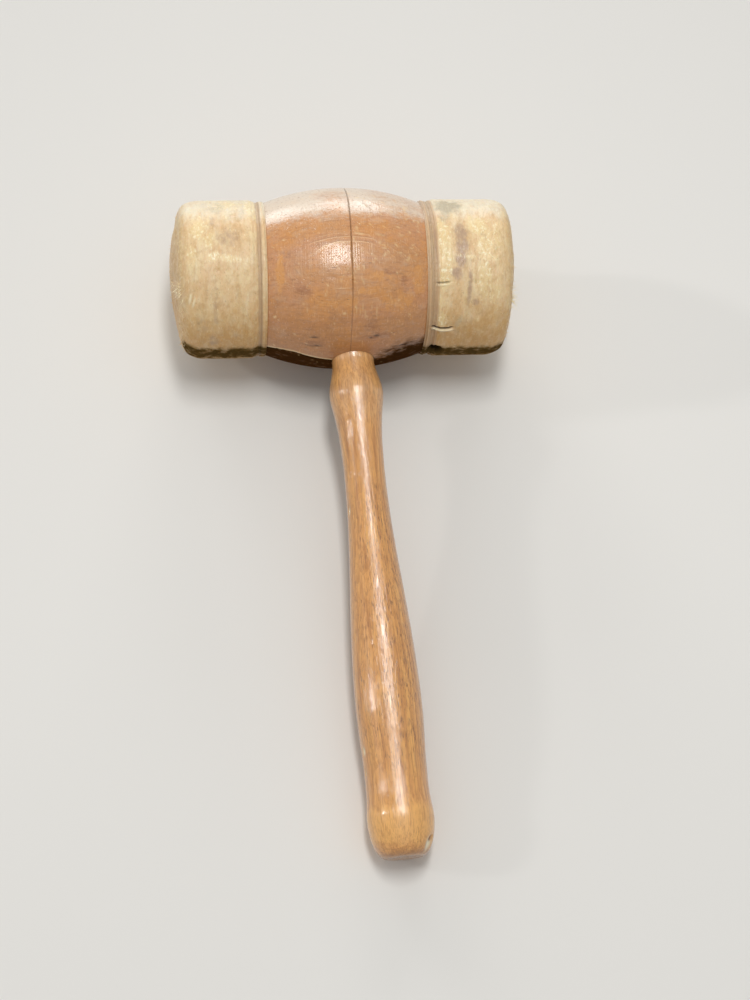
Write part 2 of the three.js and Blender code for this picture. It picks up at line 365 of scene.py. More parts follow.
def rise(values, low, high):
    """A smooth step from 0 at low to 1 at high, or the other way where high is the lower."""
    t = np.clip((values - low) / (high - low), 0, 1)
    return t * t * (3 - 2 * t)


def pressed(along, around, marks):
    """How strongly marks press on an unrolled surface; each is
    (along, around, half length, half width, turn, strength)."""
    total = np.zeros(np.broadcast(along, around).shape)
    for at, off, half_length, half_width, turn, strength in marks:
        a = along - at
        b = around - off
        u = (a * math.cos(turn) + b * math.sin(turn)) / half_length
        v = (b * math.cos(turn) - a * math.sin(turn)) / half_width
        total = np.maximum(total, strength * np.exp(-(u * u + v * v) ** 1.5))
    return total


def marked(along, angle, marks, radius):
    """The same on a turned form, for marks whose second number is in degrees round its axis."""
    per_degree = DEG * radius
    unrolled = [(at, turn_to * per_degree, *rest) for at, turn_to, *rest in marks]
    return pressed(along, angle * per_degree, unrolled)


def scattered(count, along, around, sizes, stretch, strengths, seed):
    """Marks strewn over an unrolled surface; every pair is a low and a high value."""
    draw = random.Random(seed)
    marks = []
    for _ in range(count):
        width = draw.uniform(*sizes)
        marks.append((
            draw.uniform(*along), draw.uniform(*around), width * draw.uniform(*stretch), width,
            draw.uniform(0, math.pi), draw.uniform(*strengths),
        ))
    return marks


# Materials

# How soon a mask kept inside its field is full, and how soon dirt and painted shade have taken all the shine
INSIDE_GAIN = 1.4
DULL_GAIN = 1.3


def add_node(tree, kind, settings, links=()):
    """Adds a node, with settings for its options and sockets, and links into its sockets, each from a
    socket or from a node's first one."""
    node = tree.nodes.new(kind)
    for key, value in settings.items():
        if isinstance(key, str) and hasattr(node, key):
            setattr(node, key, value)
        else:
            node.inputs[key].default_value = value
    for key, source in dict(links).items():
        tree.links.new(getattr(source, "outputs", (source,))[0], node.inputs[key])
    return node


def new_material(name):
    """A material, its nodes, where a point lies on its piece in mm, and what draws streaks and fields."""
    material = bpy.data.materials.new(name)
    material.use_nodes = True
    tree = material.node_tree
    place = add_node(tree, "ShaderNodeAttribute", {"attribute_name": "made_mm"}).outputs["Vector"]
    return material, tree, place, partial(streaks, tree, place), partial(ragged, tree, place)


def streaks(tree, place, sizes_mm, low, high, strength, detail=3.0):
    """A mask of cloudy streaks about as long in x, y and z as the sizes, 0 at low, strength at high."""
    scale = tuple(1 / size for size in sizes_mm)
    stretched = add_node(tree, "ShaderNodeMapping", {"Scale": scale}, {"Vector": place})
    cloud = add_node(
        tree, "ShaderNodeTexNoise", {"Scale": 1.0, "Detail": detail, "Roughness": 0.6}, {"Vector": stretched},
    )
    settings = {"interpolation_type": "SMOOTHSTEP", "From Min": low, "From Max": high, "To Max": strength}
    return add_node(tree, "ShaderNodeMapRange", settings, {"Value": cloud})


def ragged(tree, place, field, sizes_mm, spread, soft, strength, inside=False):
    """A field kept on the mesh as a mask, its edge broken up by noise of the sizes. Soft is how slowly it
    fades, and inside keeps it to where the mesh has it."""
    stored = add_node(tree, "ShaderNodeAttribute", {"attribute_name": field}).outputs["Fac"]
    broken = streaks(tree, place, sizes_mm, 0.25, 0.75, spread)
    total = add_node(tree, "ShaderNodeMath", {"operation": "ADD"}, {0: stored, 1: broken})
    middle = (1 + spread) / 2
    settings = {"interpolation_type": "SMOOTHSTEP", "From Min": middle - soft, "From Max": middle + soft}
    mask = add_node(tree, "ShaderNodeMapRange", {**settings, "To Max": strength}, {"Value": total})
    if not inside:
        return mask
    reach = add_node(
        tree, "ShaderNodeMath", {"operation": "MULTIPLY", "use_clamp": True, 1: INSIDE_GAIN}, {0: stored},
    )
    return add_node(tree, "ShaderNodeMath", {"operation": "MULTIPLY"}, {0: reach, 1: mask})


def finish(tree, base, layers, roughness, changes, relief, coat_relief=()):
    """Gives a shader its colour, roughness and relief, and returns it. Layers are (mask, colour) laid over
    the base in order, changes are (mask, step) added to the roughness, and relief is (height mask, mm)."""
    shader = tree.nodes["Principled BSDF"]
    colour = level = None
    for mask, over in layers:
        settings = {"data_type": "RGBA", 6: (*base, 1), 7: (*over, 1)}
        links = {0: mask, 6: colour} if colour else {0: mask}
        colour = add_node(tree, "ShaderNodeMix", settings, links).outputs[2]
    for mask, change in changes:
        settings = {"operation": "MULTIPLY_ADD", "use_clamp": True, 1: change, 2: roughness}
        links = {0: mask, 2: level} if level else {0: mask}
        level = add_node(tree, "ShaderNodeMath", settings, links)
    tree.links.new(colour, shader.inputs["Base Color"])
    tree.links.new(level.outputs[0], shader.inputs["Roughness"])
    for socket, heights in (("Normal", relief), ("Coat Normal", coat_relief)):
        normal = None
        for height, depth in heights:
            links = {"Height": height, "Normal": normal} if normal else {"Height": height}
            normal = add_node(tree, "ShaderNodeBump", {"Distance": depth * MM}, links)
        if normal:
            tree.links.new(normal.outputs[0], shader.inputs[socket])
    return shader


def dull(tree, mask, levels):
    """Takes the shine off where the mask is, for dirt that scatters light instead of mirroring it and for
    the shade painted with it; the levels are what the shader's sockets have where the piece is clean."""
    shader = tree.nodes["Principled BSDF"]
    for socket, level in levels.items():
        settings = {"operation": "MULTIPLY_ADD", "use_clamp": True, 1: -DULL_GAIN * level, 2: level}
        left = add_node(tree, "ShaderNodeMath", settings, {0: mask})
        tree.links.new(left.outputs[0], shader.inputs[socket])


def ring_bands(tree, place, pith, curl, spacing, wander):
    """How far a point is through its growth ring, from 0 to 1. The rings stand round a pith line along x,
    curl opens them out along the grain, and they wander a little as real ones do; sizes in mm."""
    from_pith = add_node(tree, "ShaderNodeMapping", {"Location": (0, -pith[0], -pith[1])}, {"Vector": place})
    parts = add_node(tree, "ShaderNodeSeparateXYZ", {}, {0: from_pith}).outputs
    across = add_node(tree, "ShaderNodeCombineXYZ", {0: 0.0}, {1: parts[1], 2: parts[2]})
    distance = add_node(tree, "ShaderNodeVectorMath", {"operation": "LENGTH"}, {0: across})
    squared = add_node(tree, "ShaderNodeMath", {"operation": "MULTIPLY"}, {0: parts[0], 1: parts[0]})
    opened = add_node(
        tree, "ShaderNodeMath", {"operation": "MULTIPLY_ADD", 1: curl},
        {0: squared, 2: distance.outputs["Value"]},
    )
    shift = streaks(tree, place, (22, 7, 7), 0.2, 0.8, wander, 2.0)
    moved = add_node(tree, "ShaderNodeMath", {"operation": "ADD"}, {0: opened, 1: shift})
    counted = add_node(tree, "ShaderNodeMath", {"operation": "DIVIDE", 1: spacing}, {0: moved})
    return add_node(tree, "ShaderNodeMath", {"operation": "FRACT"}, {0: counted})


def beech_turned_and_oiled(look):
    """Old beech, turned on a lathe, oiled and handled: a satin red-brown with growth rings and ray flecks.
    Its top is pale, partly from wear and partly a painted sheen; its low side is painted browner as shade,
    and there is dirt with painted shade in every low place."""
    material, tree, place, streak, field = new_material("beech_turned_and_oiled")
    through = ring_bands(tree, place, PITH, PITH_CURL, 0.42, 0.3)
    late = add_node(tree, "ShaderNodeMapRange", {"From Min": 0.45, "To Max": 0.4}, {"Value": through})
    early = add_node(
        tree, "ShaderNodeMapRange", {"From Min": 0.24, "From Max": 0.0, "To Max": 0.9}, {"Value": through},
    )
    figure = field("figure", (9, 4, 4), 0.5, 0.4, 1.0)
    grain = streak((16, 1.3, 1.3), 0.45, 0.8, 0.4)
    orange = streak((7, 14, 14), 0.4, 0.72, 0.8)
    rosy = streak((16, 12, 12), 0.42, 0.68, 0.7, 2.0)
    flecks = streak((0.5, 3.4, 3.4), 0.54, 0.76, 0.35)
    pale_flecks = streak((0.55, 2.4, 2.4), 0.56, 0.74, 0.35)
    pores = streak((2.6, 0.45, 0.45), 0.6, 0.76, 0.4)
    mottle = streak((2.6, 2.0, 2.0), 0.5, 0.74, 0.5)
    dark_mottle = streak((4.2, 2.6, 2.6), 0.55, 0.75, 0.35)
    dashes = streak((3.4, 0.8, 0.8), 0.74, 0.8, 0.5, 1.0)
    speckle = streak((0.9, 0.8, 0.8), 0.58, 0.7, 1.0)
    cloud = streak((9, 6, 6), 0.3, 0.7, 1.0)
    tool_lines = streak((0.5, 40, 40), 0.2, 0.8, 1.0, 1.0)
    # Painted shade on the low side
    low = field("low", (12, 5, 5), 0.5, 0.5, 0.5)
    warm = field("warm", (2.2, 3.0, 3.0), 0.7, 0.4, 0.85)
    shade = field("shade", (2.6, 1.2, 1.2), 0.9, 0.5, 0.5)
    # The pale top band, partly wear and partly a painted sheen
    worn = field("worn", (7, 3.5, 3.5), 0.55, 0.5, 0.55)
    worn_and_sheen_fine = field("worn", (1.3, 0.8, 0.8), 0.8, 0.4, 0.35)
    # Dirt together with painted shade low on the barrel, darkest in spots
    grime = field("grime", (5, 2.2, 2.2), 0.9, 0.5, 0.93, True)
    soot_and_shade = field("grime", (3.4, 0.7, 0.7), 0.8, 0.3, 0.6, True)
    nicks = add_node(tree, "ShaderNodeAttribute", {"attribute_name": "nicks"}).outputs["Fac"]
    lines = add_node(tree, "ShaderNodeAttribute", {"attribute_name": "lines"}).outputs["Fac"]
    ring, pale_ring, worn_and_sheen_speckle = (
        add_node(tree, "ShaderNodeMath", {"operation": "MULTIPLY"}, {0: mask, 1: reach})
        for mask, reach in ((late, figure), (early, figure), (speckle, worn))
    )
    shader = finish(
        tree, look.wood,
        ((orange, look.orange), (rosy, look.rosy), (low, look.low), (grain, look.late_wood),
         (mottle, look.orange), (dark_mottle, look.late_wood), (warm, look.warm), (shade, look.shade),
         (ring, look.late_wood), (pale_ring, look.early_wood), (flecks, look.late_wood),
         (pale_flecks, look.early_wood), (pores, look.late_wood), (worn, look.worn), (worn_and_sheen_fine, look.worn),
         (worn_and_sheen_speckle, look.late_wood), (dashes, look.grime), (grime, look.grime), (soot_and_shade, look.ink),
         (nicks, look.nick), (lines, look.ink)),
        0.28, ((cloud, 0.1), (worn, 0.08), (speckle, 0.08), (grime, 0.45), (lines, 0.3)),
        ((tool_lines, 0.03), (pores, -0.06), (speckle, -0.05), (mottle, 0.05)),
        ((tool_lines, 0.02), (pores, -0.03), (speckle, -0.04)),
    )
    shader.inputs["IOR"].default_value = 1.5
    shader.inputs["Coat Roughness"].default_value = 0.17
    shader.inputs["Coat IOR"].default_value = 1.5
    dull(tree, grime, {"Specular IOR Level": 0.5, "Coat Weight": 0.6})
    return material


def rawhide_shrunk_and_dried(look):
    """Rawhide, shrunk on wet and dried hard: waxy tan with fibres round the head, cloudy patches,
    rubbed and stained spots, and a slight glow through its surface. Its tops are pale partly from wear and
    partly a painted sheen, its low side is painted browner as shade and dirty with more painted shade, and
    some rubbed spots are painted glints."""
    material, tree, _, streak, field = new_material("rawhide_shrunk_and_dried")
    clouds = streak((5, 11, 11), 0.36, 0.7, 0.75)
    patches = streak((3.2, 4.5, 4.5), 0.48, 0.68, 0.5)
    mottle = streak((2.0, 2.6, 2.6), 0.5, 0.7, 0.3)
    dark_mottle = streak((2.2, 3.6, 3.6), 0.54, 0.74, 0.35)
    brown = streak((1.8, 14, 14), 0.46, 0.76, 0.5)
    fibres = streak((0.5, 4.5, 4.5), 0.5, 0.76, 0.2)
    scuffs = streak((1.1, 2.2, 2.2), 0.62, 0.74, 0.3)
    threads = streak((0.45, 2.2, 2.2), 0.68, 0.76, 0.4, 1.0)
    sparks = streak((0.9, 1.6, 1.6), 0.5, 0.66, 1.5)
    crinkle = streak((0.9, 2.0, 2.0), 0.3, 0.7, 1.0)
    specks = streak((0.8, 0.9, 0.9), 0.62, 0.7, 0.22)
    # Painted shade on the low side
    low = field("low", (6, 6, 6), 0.5, 0.5, 0.85)
    # Rubbed, shiny patches; on the left cap some are painted glints
    polish = field("polish", (1.3, 2.4, 2.4), 0.7, 0.45, 0.65)
    # The pale tops, partly wear and partly a painted sheen
    bleached = field("bleached", (2.4, 6, 6), 0.6, 0.6, 0.6)
    stain = field("stain", (1.8, 2.6, 2.6), 0.8, 0.6, 0.8, True)
    grey = field("grey", (2.4, 4, 4), 0.8, 0.6, 0.85, True)
    skirt = field("skirt", (0.8, 9, 9), 0.4, 0.4, 0.7)
    ridges = field("ridges", (0.8, 7, 7), 0.5, 0.4, 0.35)
    rim = field("rim", (1.2, 5, 5), 0.8, 0.6, 0.5)
    struck = field("struck", (4, 5, 5), 0.7, 0.45, 0.6)
    # Dirt together with painted shade on the low side, darkest in spots
    dirt = field("dirt", (3.4, 2.8, 2.8), 0.9, 0.55, 0.95, True)
    soot_and_shade = field("dirt", (1.2, 0.9, 0.9), 0.9, 0.4, 0.32, True)
    pits = add_node(tree, "ShaderNodeAttribute", {"attribute_name": "pits"}).outputs["Fac"]
    lips = add_node(tree, "ShaderNodeAttribute", {"attribute_name": "lips"}).outputs["Fac"]
    # Pale flecks over the rubbed patches and the rim; in the left cap's glint band they are painted glints
    rubbed, rim_sparks = (
        add_node(tree, "ShaderNodeMath", {"operation": "MULTIPLY"}, {0: sparks, 1: reach})
        for reach in (polish, rim)
    )
    shader = finish(
        tree, look.hide,
        ((clouds, look.cream), (low, look.low), (patches, look.streak), (brown, look.streak),
         (bleached, look.bleached), (dark_mottle, look.streak), (mottle, look.cream), (fibres, look.cream),
         (rim, look.rim), (struck, look.streak), (polish, look.polish), (stain, look.stain),
         (grey, look.grey), (rubbed, look.scratch), (rim_sparks, look.polish), (scuffs, look.polish),
         (threads, look.scratch), (specks, look.dirt), (skirt, look.skirt), (ridges, look.hide),
         (dirt, look.dirt), (soot_and_shade, look.pit), (lips, look.scratch), (pits, look.pit)),
        0.36, ((clouds, 0.1), (polish, -0.16), (stain, -0.1), (crinkle, 0.12), (dirt, 0.4), (pits, 0.3)),
        ((fibres, 0.06), (scuffs, -0.08), (clouds, 0.1), (brown, -0.1), (crinkle, 0.1)),
    )
    shader.inputs["IOR"].default_value = 1.53
    shader.inputs["Subsurface Weight"].default_value = 0.1
    shader.inputs["Subsurface Radius"].default_value = (1.0, 0.6, 0.3)
    shader.inputs["Subsurface Scale"].default_value = 0.0015
    dull(tree, dirt, {"Specular IOR Level": 0.5})
    return material


def hickory_turned_and_varnished(look):
    """Hickory, turned and varnished: honey brown, long grain and short dark pores under a clear gloss."""
    material, tree, place, streak, field = new_material("hickory_turned_and_varnished")
    through = ring_bands(tree, place, (30, -70), 0.0001, 2.1, 2.2)
    late = add_node(tree, "ShaderNodeMapRange", {"From Min": 0.3, "To Max": 0.35}, {"Value": through})
    pale = streak((26, 1.6, 1.6), 0.45, 0.68, 0.6)
    deep = streak((34, 1.5, 1.5), 0.48, 0.7, 0.55)
    curly = streak((3.4, 1.8, 1.8), 0.5, 0.74, 0.35)
    hair = streak((11, 0.45, 0.45), 0.5, 0.72, 0.4)
    # Real pores are about 0.2 mm across; they are drawn twice as coarse to show
    fine_pores = streak((3.4, 0.4, 0.4), 0.54, 0.66, 0.18, 2.0)
    dashes = streak((3.2, 0.42, 0.42), 0.56, 0.64, 0.75, 2.0)
    long_lines = streak((30, 0.5, 0.5), 0.56, 0.66, 0.4, 1.0)
    smudge = streak((8, 4, 4), 0.58, 0.76, 0.4)
    swell = streak((12, 3, 3), 0.2, 0.8, 1.0, 2.0)
    rubbed = streak((14, 0.7, 0.7), 0.4, 0.65, 1.0)
    open_grain = field("open_grain", (12, 3, 3), 0.8, 0.4, 1.0)
    neck = field("neck", (9, 3, 3), 0.5, 0.5, 0.14)
    # A paler band round the flare: painted light
    butt = field("butt", (5, 3, 3), 0.5, 0.5, 0.8)
    cut_across = field("end_grain", (1.2, 0.8, 0.8), 0.5, 0.45, 0.6)
    chip = add_node(tree, "ShaderNodeAttribute", {"attribute_name": "chip"}).outputs["Fac"]
    pit = add_node(tree, "ShaderNodeAttribute", {"attribute_name": "pit"}).outputs["Fac"]
    pores = add_node(tree, "ShaderNodeMath", {"operation": "MULTIPLY"}, {0: dashes, 1: open_grain})
    shader = finish(
        tree, look.wood,
        ((pale, look.pale_grain), (deep, look.dark_grain), (late, look.dark_grain), (neck, look.chip),
         (butt, look.pale_grain), (curly, look.dark_grain), (hair, look.dark_grain),
         (long_lines, look.dark_grain), (fine_pores, look.pore), (pores, look.pore), (smudge, look.smudge),
         (cut_across, look.end_grain), (chip, look.chip), (pit, look.pore)),
        0.3, ((pores, 0.2), (rubbed, 0.1), (cut_across, 0.15), (chip, 0.3)),
        ((pores, -0.06), (hair, -0.04), (swell, 0.03), (rubbed, 0.02)),
        ((fine_pores, -0.02), (hair, -0.03), (swell, 0.03), (rubbed, 0.04)),
    )
    shader.inputs["IOR"].default_value = 1.5
    shader.inputs["Coat Weight"].default_value = 1.0
    shader.inputs["Coat Roughness"].default_value = 0.11
    shader.inputs["Coat IOR"].default_value = 1.52
    return material


def oak_split_end_grain(look):
    """An oak wedge seen on its cut end: dark, dull, with open pores and lighter rays."""
    material, tree, _, streak, _ = new_material("oak_split_end_grain")
    pores = streak((3, 0.35, 0.35), 0.52, 0.62, 0.7, 1.0)
    rays = streak((3, 0.3, 2.4), 0.52, 0.68, 0.5)
    shader = finish(
        tree, look.wedge, ((rays, look.wood), (pores, look.pore)),
        0.55, ((pores, 0.2),), ((pores, -0.1), (rays, 0.04)),
    )
    shader.inputs["IOR"].default_value = 1.5
    return material


# The barrel

# The eye of the growth rings: how far round it lies, and a far pith line behind it, in mm
EYE_OF_GRAIN = 21 * DEG
PITH_DISTANCE = 120
PITH = (PITH_DISTANCE * math.sin(EYE_OF_GRAIN), -PITH_DISTANCE * math.cos(EYE_OF_GRAIN))
PITH_CURL = 0.0036  # per mm, how soon the rings bend away along the grain
# Every mark below is (along in mm, round in degrees, half length and half width in mm, turn, strength)
CLEAR_RINGS = ((9.0, 45, 9.0, 3.4, 0, 1.0), (-3.0, 36, 2.5, 1.5, 0, 0.5))
DARK_NICKS = (
    (-13.4, 71.2, 1.9, 0.42, -0.1, 1.0), (-11.9, 78.4, 1.6, 0.42, -0.05, 0.9),
    (-14.6, 79.0, 2.4, 0.5, 0.1, 0.4),
    (9.0, 71.2, 0.8, 0.4, 0, 0.9), (11.2, 69.9, 1.2, 0.6, 0, 1.0), (22.4, 83.4, 2.0, 0.45, 0.1, 0.9),
    (26.0, 82.2, 2.4, 0.5, 0.1, 0.6), (13.8, 25.4, 1.0, 0.3, 0, 0.3), (20.2, 28.2, 1.6, 0.35, 0, 0.4),
    (5.6, 22.5, 0.9, 0.3, 0, 0.35), (-21.5, 31.5, 0.8, 0.3, 0, 0.3), (-11.5, 42.0, 1.0, 0.25, 0, 0.3),
)
PALE_SCUFFS = (
    (2.9, 50, 0.22, 1.8, 0, 0.5), (4.1, 52, 0.2, 1.5, 0, 0.45), (5.4, 49, 0.2, 2.2, 0, 0.5),
    (6.4, 53, 0.22, 1.6, 0, 0.4), (8.6, 50, 0.2, 1.4, 0.1, 0.4), (10.8, 52, 0.22, 2.4, 0, 0.35),
    (-16.4, 52, 0.2, 1.6, 0.1, 0.4), (-9.0, 40, 0.25, 1.2, 0.2, 0.4), (16.5, 45, 0.2, 1.8, -0.2, 0.35),
)
# Where the top's pale band of wear and painted sheen is weaker
LESS_WORN_AND_SHEEN = ((-4.0, -30, 8.0, 12.0, 0, 1.0),)
WARM_SPOTS = (
    (-26.5, 27, 1.8, 9.5, 0, 1.0), (27.5, 33, 2.2, 8.0, 0, 0.9), (7.5, 38.5, 4.5, 1.6, -0.1, 1.0),
    (12.0, 30, 5.0, 3.0, 0, 0.7), (-5.0, 46, 9.0, 2.0, 0, 0.6), (20.0, 47, 8.0, 5.0, 0, 0.7),
)
SHADE_SPOTS = (
    (-17.5, 38.5, 3.5, 2.6, 0, 0.8), (21.5, 32, 1.5, 2.4, 0, 0.9), (15.5, 27.5, 3.5, 1.0, 0.2, 0.8),
    (12.0, 70, 5.5, 1.8, 0, 0.8), (25.5, 84, 5.0, 2.2, 0, 0.9), (-12.0, 76, 4.5, 2.0, 0, 0.7),
    (-23.0, 14, 0.9, 0.9, 0, 0.8), (9.0, 60, 3.0, 5.0, 0, 0.6),
)
# Strewn marks are (how many, along, round, half widths, length in widths, strengths, seed), in mm
BARREL_DENTS = (70, (-30, 30), (-115, 115), (0.4, 1.3), (1, 3), (0.05, 0.22), 11)
FRESH_NICKS = (
    (110, (-30, 30), (-110, 75), (0.2, 0.42), (1, 2.6), (0.3, 0.9), 12),
    (60, (2, 29), (-24, 12), (0.22, 0.4), (1.5, 4), (0.3, 0.75), 13),
    # This group is strewn over the barrel's highlight: pale specks, partly nicks and partly painted glints
    (40, (-6, 6), (8, 22), (0.2, 0.3), (2, 5), (0.2, 0.5), 14),
)
# The check in the wood: its place along the head's axis in mm and round it in degrees
CHECK_ALONG = (-31.3, -26, -21, -16, -11, -4)
CHECK_AROUND = (91.8, 89.8, 89.1, 91.2, 92.8, 94.1)
CHECK_DEPTH = 1.3
CHECK_HALF_WIDTH = 0.32
BORE_REACH = 60


def belly_at(look, along):
    """The barrel's radius at a distance from its middle: one arc from shoulder to shoulder."""
    half = look.barrel_length / 2
    drop = look.belly_radius - look.shoulder_radius
    bend = (half ** 2 + drop ** 2) / (2 * drop)
    return look.belly_radius - bend + np.sqrt(bend ** 2 - np.minimum(np.abs(along), half) ** 2)


def off_scribe(look, points):
    """How far points lie from the scribed line, which wanders a little round the barrel."""
    wander = 0.35 * unevenness(points * (0, 1, 1), 24, 3)
    return np.abs(points[..., 0] - (look.scribe_offset + wander))


def past_check(along, angle):
    """How many degrees round the barrel points lie past the check."""
    return angle - np.interp(along, CHECK_ALONG, CHECK_AROUND)


def build_barrel(look, eye):
    half = look.barrel_length / 2
    scribe = look.scribe_offset
    belly = stations(
        (-half, half, 0.5), (scribe - 1.1, scribe + 1.1, 0.1), (-half, 0.6 - half, 0.1),
        (half - 0.6, half, 0.1),
    )
    chamfer = look.spigot_chamfer
    spigot = look.spigot_radius
    outline = np.concatenate([
        [(-look.left_end, 0.3), (-look.left_end, spigot - chamfer), (chamfer - look.left_end, spigot),
         (-half, spigot)],
        np.stack([belly, belly_at(look, belly)], 1),
        [(half, spigot), (look.right_end - chamfer, spigot), (look.right_end, spigot - chamfer),
         (look.right_end, 0.3)],
    ])
    angles = stations((-180, 179.25, 0.75), (90, 100, 0.2))
    flat = turned(outline, angles)
    along = flat[..., 0]
    groove = look.scribe_depth * (1 - off_scribe(look, flat) / (look.scribe_width / 2))
    groove *= 0.35 + 0.5 * rise(angles, 75, 10)
    off_check = np.abs(past_check(along, angles)) * DEG * look.belly_radius
    check = CHECK_DEPTH * np.clip(1 - off_check / CHECK_HALF_WIDTH, 0, 1)
    edge_round = 0.05 * rise(np.abs(along), half - 0.4, half) ** 2
    dents = pressed(along, angles * DEG * look.belly_radius, scattered(*BARREL_DENTS))
    dents += 0.15 * marked(along, angles, DARK_NICKS, look.belly_radius)
    broad = 0.07 * (1 + unevenness(flat, 21, 1)) + 0.02 * (1 + unevenness(flat, 4, 2))
    depth = np.maximum(np.maximum(groove, 0), check * rise(along, 0, -3)) + dents + edge_round + broad
    depth *= (outline[:, 1:] > spigot + 0.1) & (np.abs(outline[:, :1]) < half - 0.02)
    barrel = skin("turned_barrel", [turned(outline, angles, depth)])
    bore = turned(
        np.array([(-BORE_REACH, look.eye_radius), (BORE_REACH, look.eye_radius)]), np.arange(0, 360, 3),
    )
    cut_away(barrel, skin("eye_cutter", [bore], eye, HANDLE_AXES))
    mark_barrel(look, barrel)
    return barrel


def mark_barrel(look, barrel):
    """Stores where the barrel shows wear, dirt, nicks and lines, and where a sheen, shade and glints are
    painted on it.
    """
    points = own_points(barrel)
    along, angle = unwound(points)
    mark = partial(marked, along, angle, radius=look.belly_radius)
    # The pale top band: partly wear, partly a painted sheen; weaker on the right and where marked
    worn = rise(angle, -3, -27) * rise(angle, -95, -60)
    worn *= 0.6 + 0.4 * rise(along, 14, 4) - 0.5 * mark(LESS_WORN_AND_SHEEN)
    past = past_check(along, angle)
    off_check = past * DEG * look.belly_radius
    # Dark under the check and along the low side: dirt together with painted shade, fading towards the
    # underside
    under_check = rise(past, -0.3, 0.6) * rise(along, -2, -6)
    low_right = rise(angle, 68, 96) * rise(along, 4, 22)
    fade = rise(angle, 165, 118) * 0.75 + 0.25 * rise(angle, 180, 170)
    grime = np.maximum.reduce([under_check, low_right, rise(angle, 86, 102)]) * fade
    ring_at = np.hypot(points[:, 1] - PITH[0], points[:, 2] - PITH[1]) + PITH_CURL * along ** 2
    below_eye = PITH_DISTANCE + look.belly_radius - ring_at
    clear = np.maximum(rise(angle, 26, 14) * rise(np.abs(along + 2), 15, 7), mark(CLEAR_RINGS))
    figure = 0.2 + 0.8 * clear * np.exp(-((below_eye - 1.15) / 0.5) ** 2) - 0.15 * rise(below_eye, 2.5, 5)
    line = np.clip(1.25 - off_scribe(look, points) / 0.3, 0, 1) * (0.3 + 0.15 * rise(angle, 45, 5))
    slit = np.clip(1.2 - np.abs(off_check) / 0.25, 0, 1) * rise(along, -1, -5)
    # A pale line on the check's upper edge: partly fresh wood, partly a painted edge highlight
    pale_edge = np.clip(1.4 - np.abs(off_check + 0.75) / 0.65, 0, 1) * rise(along, -1, -4)
    nicks = pressed(along, angle * DEG * look.belly_radius, [
        nick for strewn in FRESH_NICKS for nick in scattered(*strewn)
    ])
    fresh = np.maximum(nicks, mark(PALE_SCUFFS)) * (1 - 0.6 * grime)
    # The low field is painted shade, browner and darker on the low side
    keep(
        barrel, made_mm=points, worn=worn, low=rise(angle, 25, 90) * rise(angle, 176, 140),
        warm=mark(WARM_SPOTS), shade=mark(SHADE_SPOTS), grime=grime, figure=figure,
        nicks=np.maximum(fresh, 0.85 * pale_edge),
        lines=np.maximum.reduce([line, slit, 0.9 * mark(DARK_NICKS)]),
    )


# The caps

# A crease is (along from and to in mm, degrees round at its start, middle and end, strength)
LEFT = SimpleNamespace(
    piece="left_cap", fibres="left_fibres", node="left_hide_cap", length="left_length", wear="left_wear",
    side=-1, seed=60, fibre_seed=81, tuft_angle=41, finer=(), creases=(), hole=(),
    ridge_height=0.05, skirt_reach=4.2, skirt_on_bead=0.3, dirt_from=85,
    dents=(46, (-70, -40), (-98, 98), (0.5, 1.6), (1, 2.5), (0.06, 0.35), 64),
    blows=(34, (-24, 24), (-24, 24), (0.8, 3.2), (1, 2.2), (0.08, 0.4), 65),
    torn=((-61.2, 44.5, 0.45, 2.4, 0.2, 1.0), (-59.9, 47.5, 0.4, 2.0, 0.2, 0.9)),
    polished_and_glints=(
        (-57.5, -8, 3.4, 5.5, 0, 0.9), (-53.5, 2, 2.0, 4.0, 0, 0.8), (-36.5, -34, 3.0, 10.0, 0, 0.9),
        (-46.0, -38, 6.0, 5.0, 0, 0.8), (-60.5, 14, 2.0, 5.0, 0, 0.7), (-46.5, 16, 7.5, 1.6, 0.1, 1.0),
        # These two and the last of the row above lie where the lamp's glint falls on the left cap: painted
        # highlight as well as rubbed hide
        (-52.0, 15, 3.5, 2.2, -0.3, 0.8), (-41.5, 18, 3.0, 1.4, 0.2, 0.7),
    ),
    stained=(
        (-51.4, 48, 1.2, 12.0, 0, 0.5), (-52.5, 80, 2.8, 3.8, 0, 0.65), (-52.0, -14, 1.2, 4.0, 0, 0.6),
        (-44.0, 76, 2.0, 4.0, 0, 0.4), (-46.0, 0, 6.0, 5.5, 0, 0.6), (-57.0, 66, 3.0, 5.0, 0.3, 0.4),
    ),
    greyed=(
        (-50.0, -34, 2.8, 7.0, 0.2, 0.5), (-58.5, 60, 2.0, 5.0, 0, 0.4), (-40.5, -22, 1.6, 5.0, 0, 0.4),
    ),
)
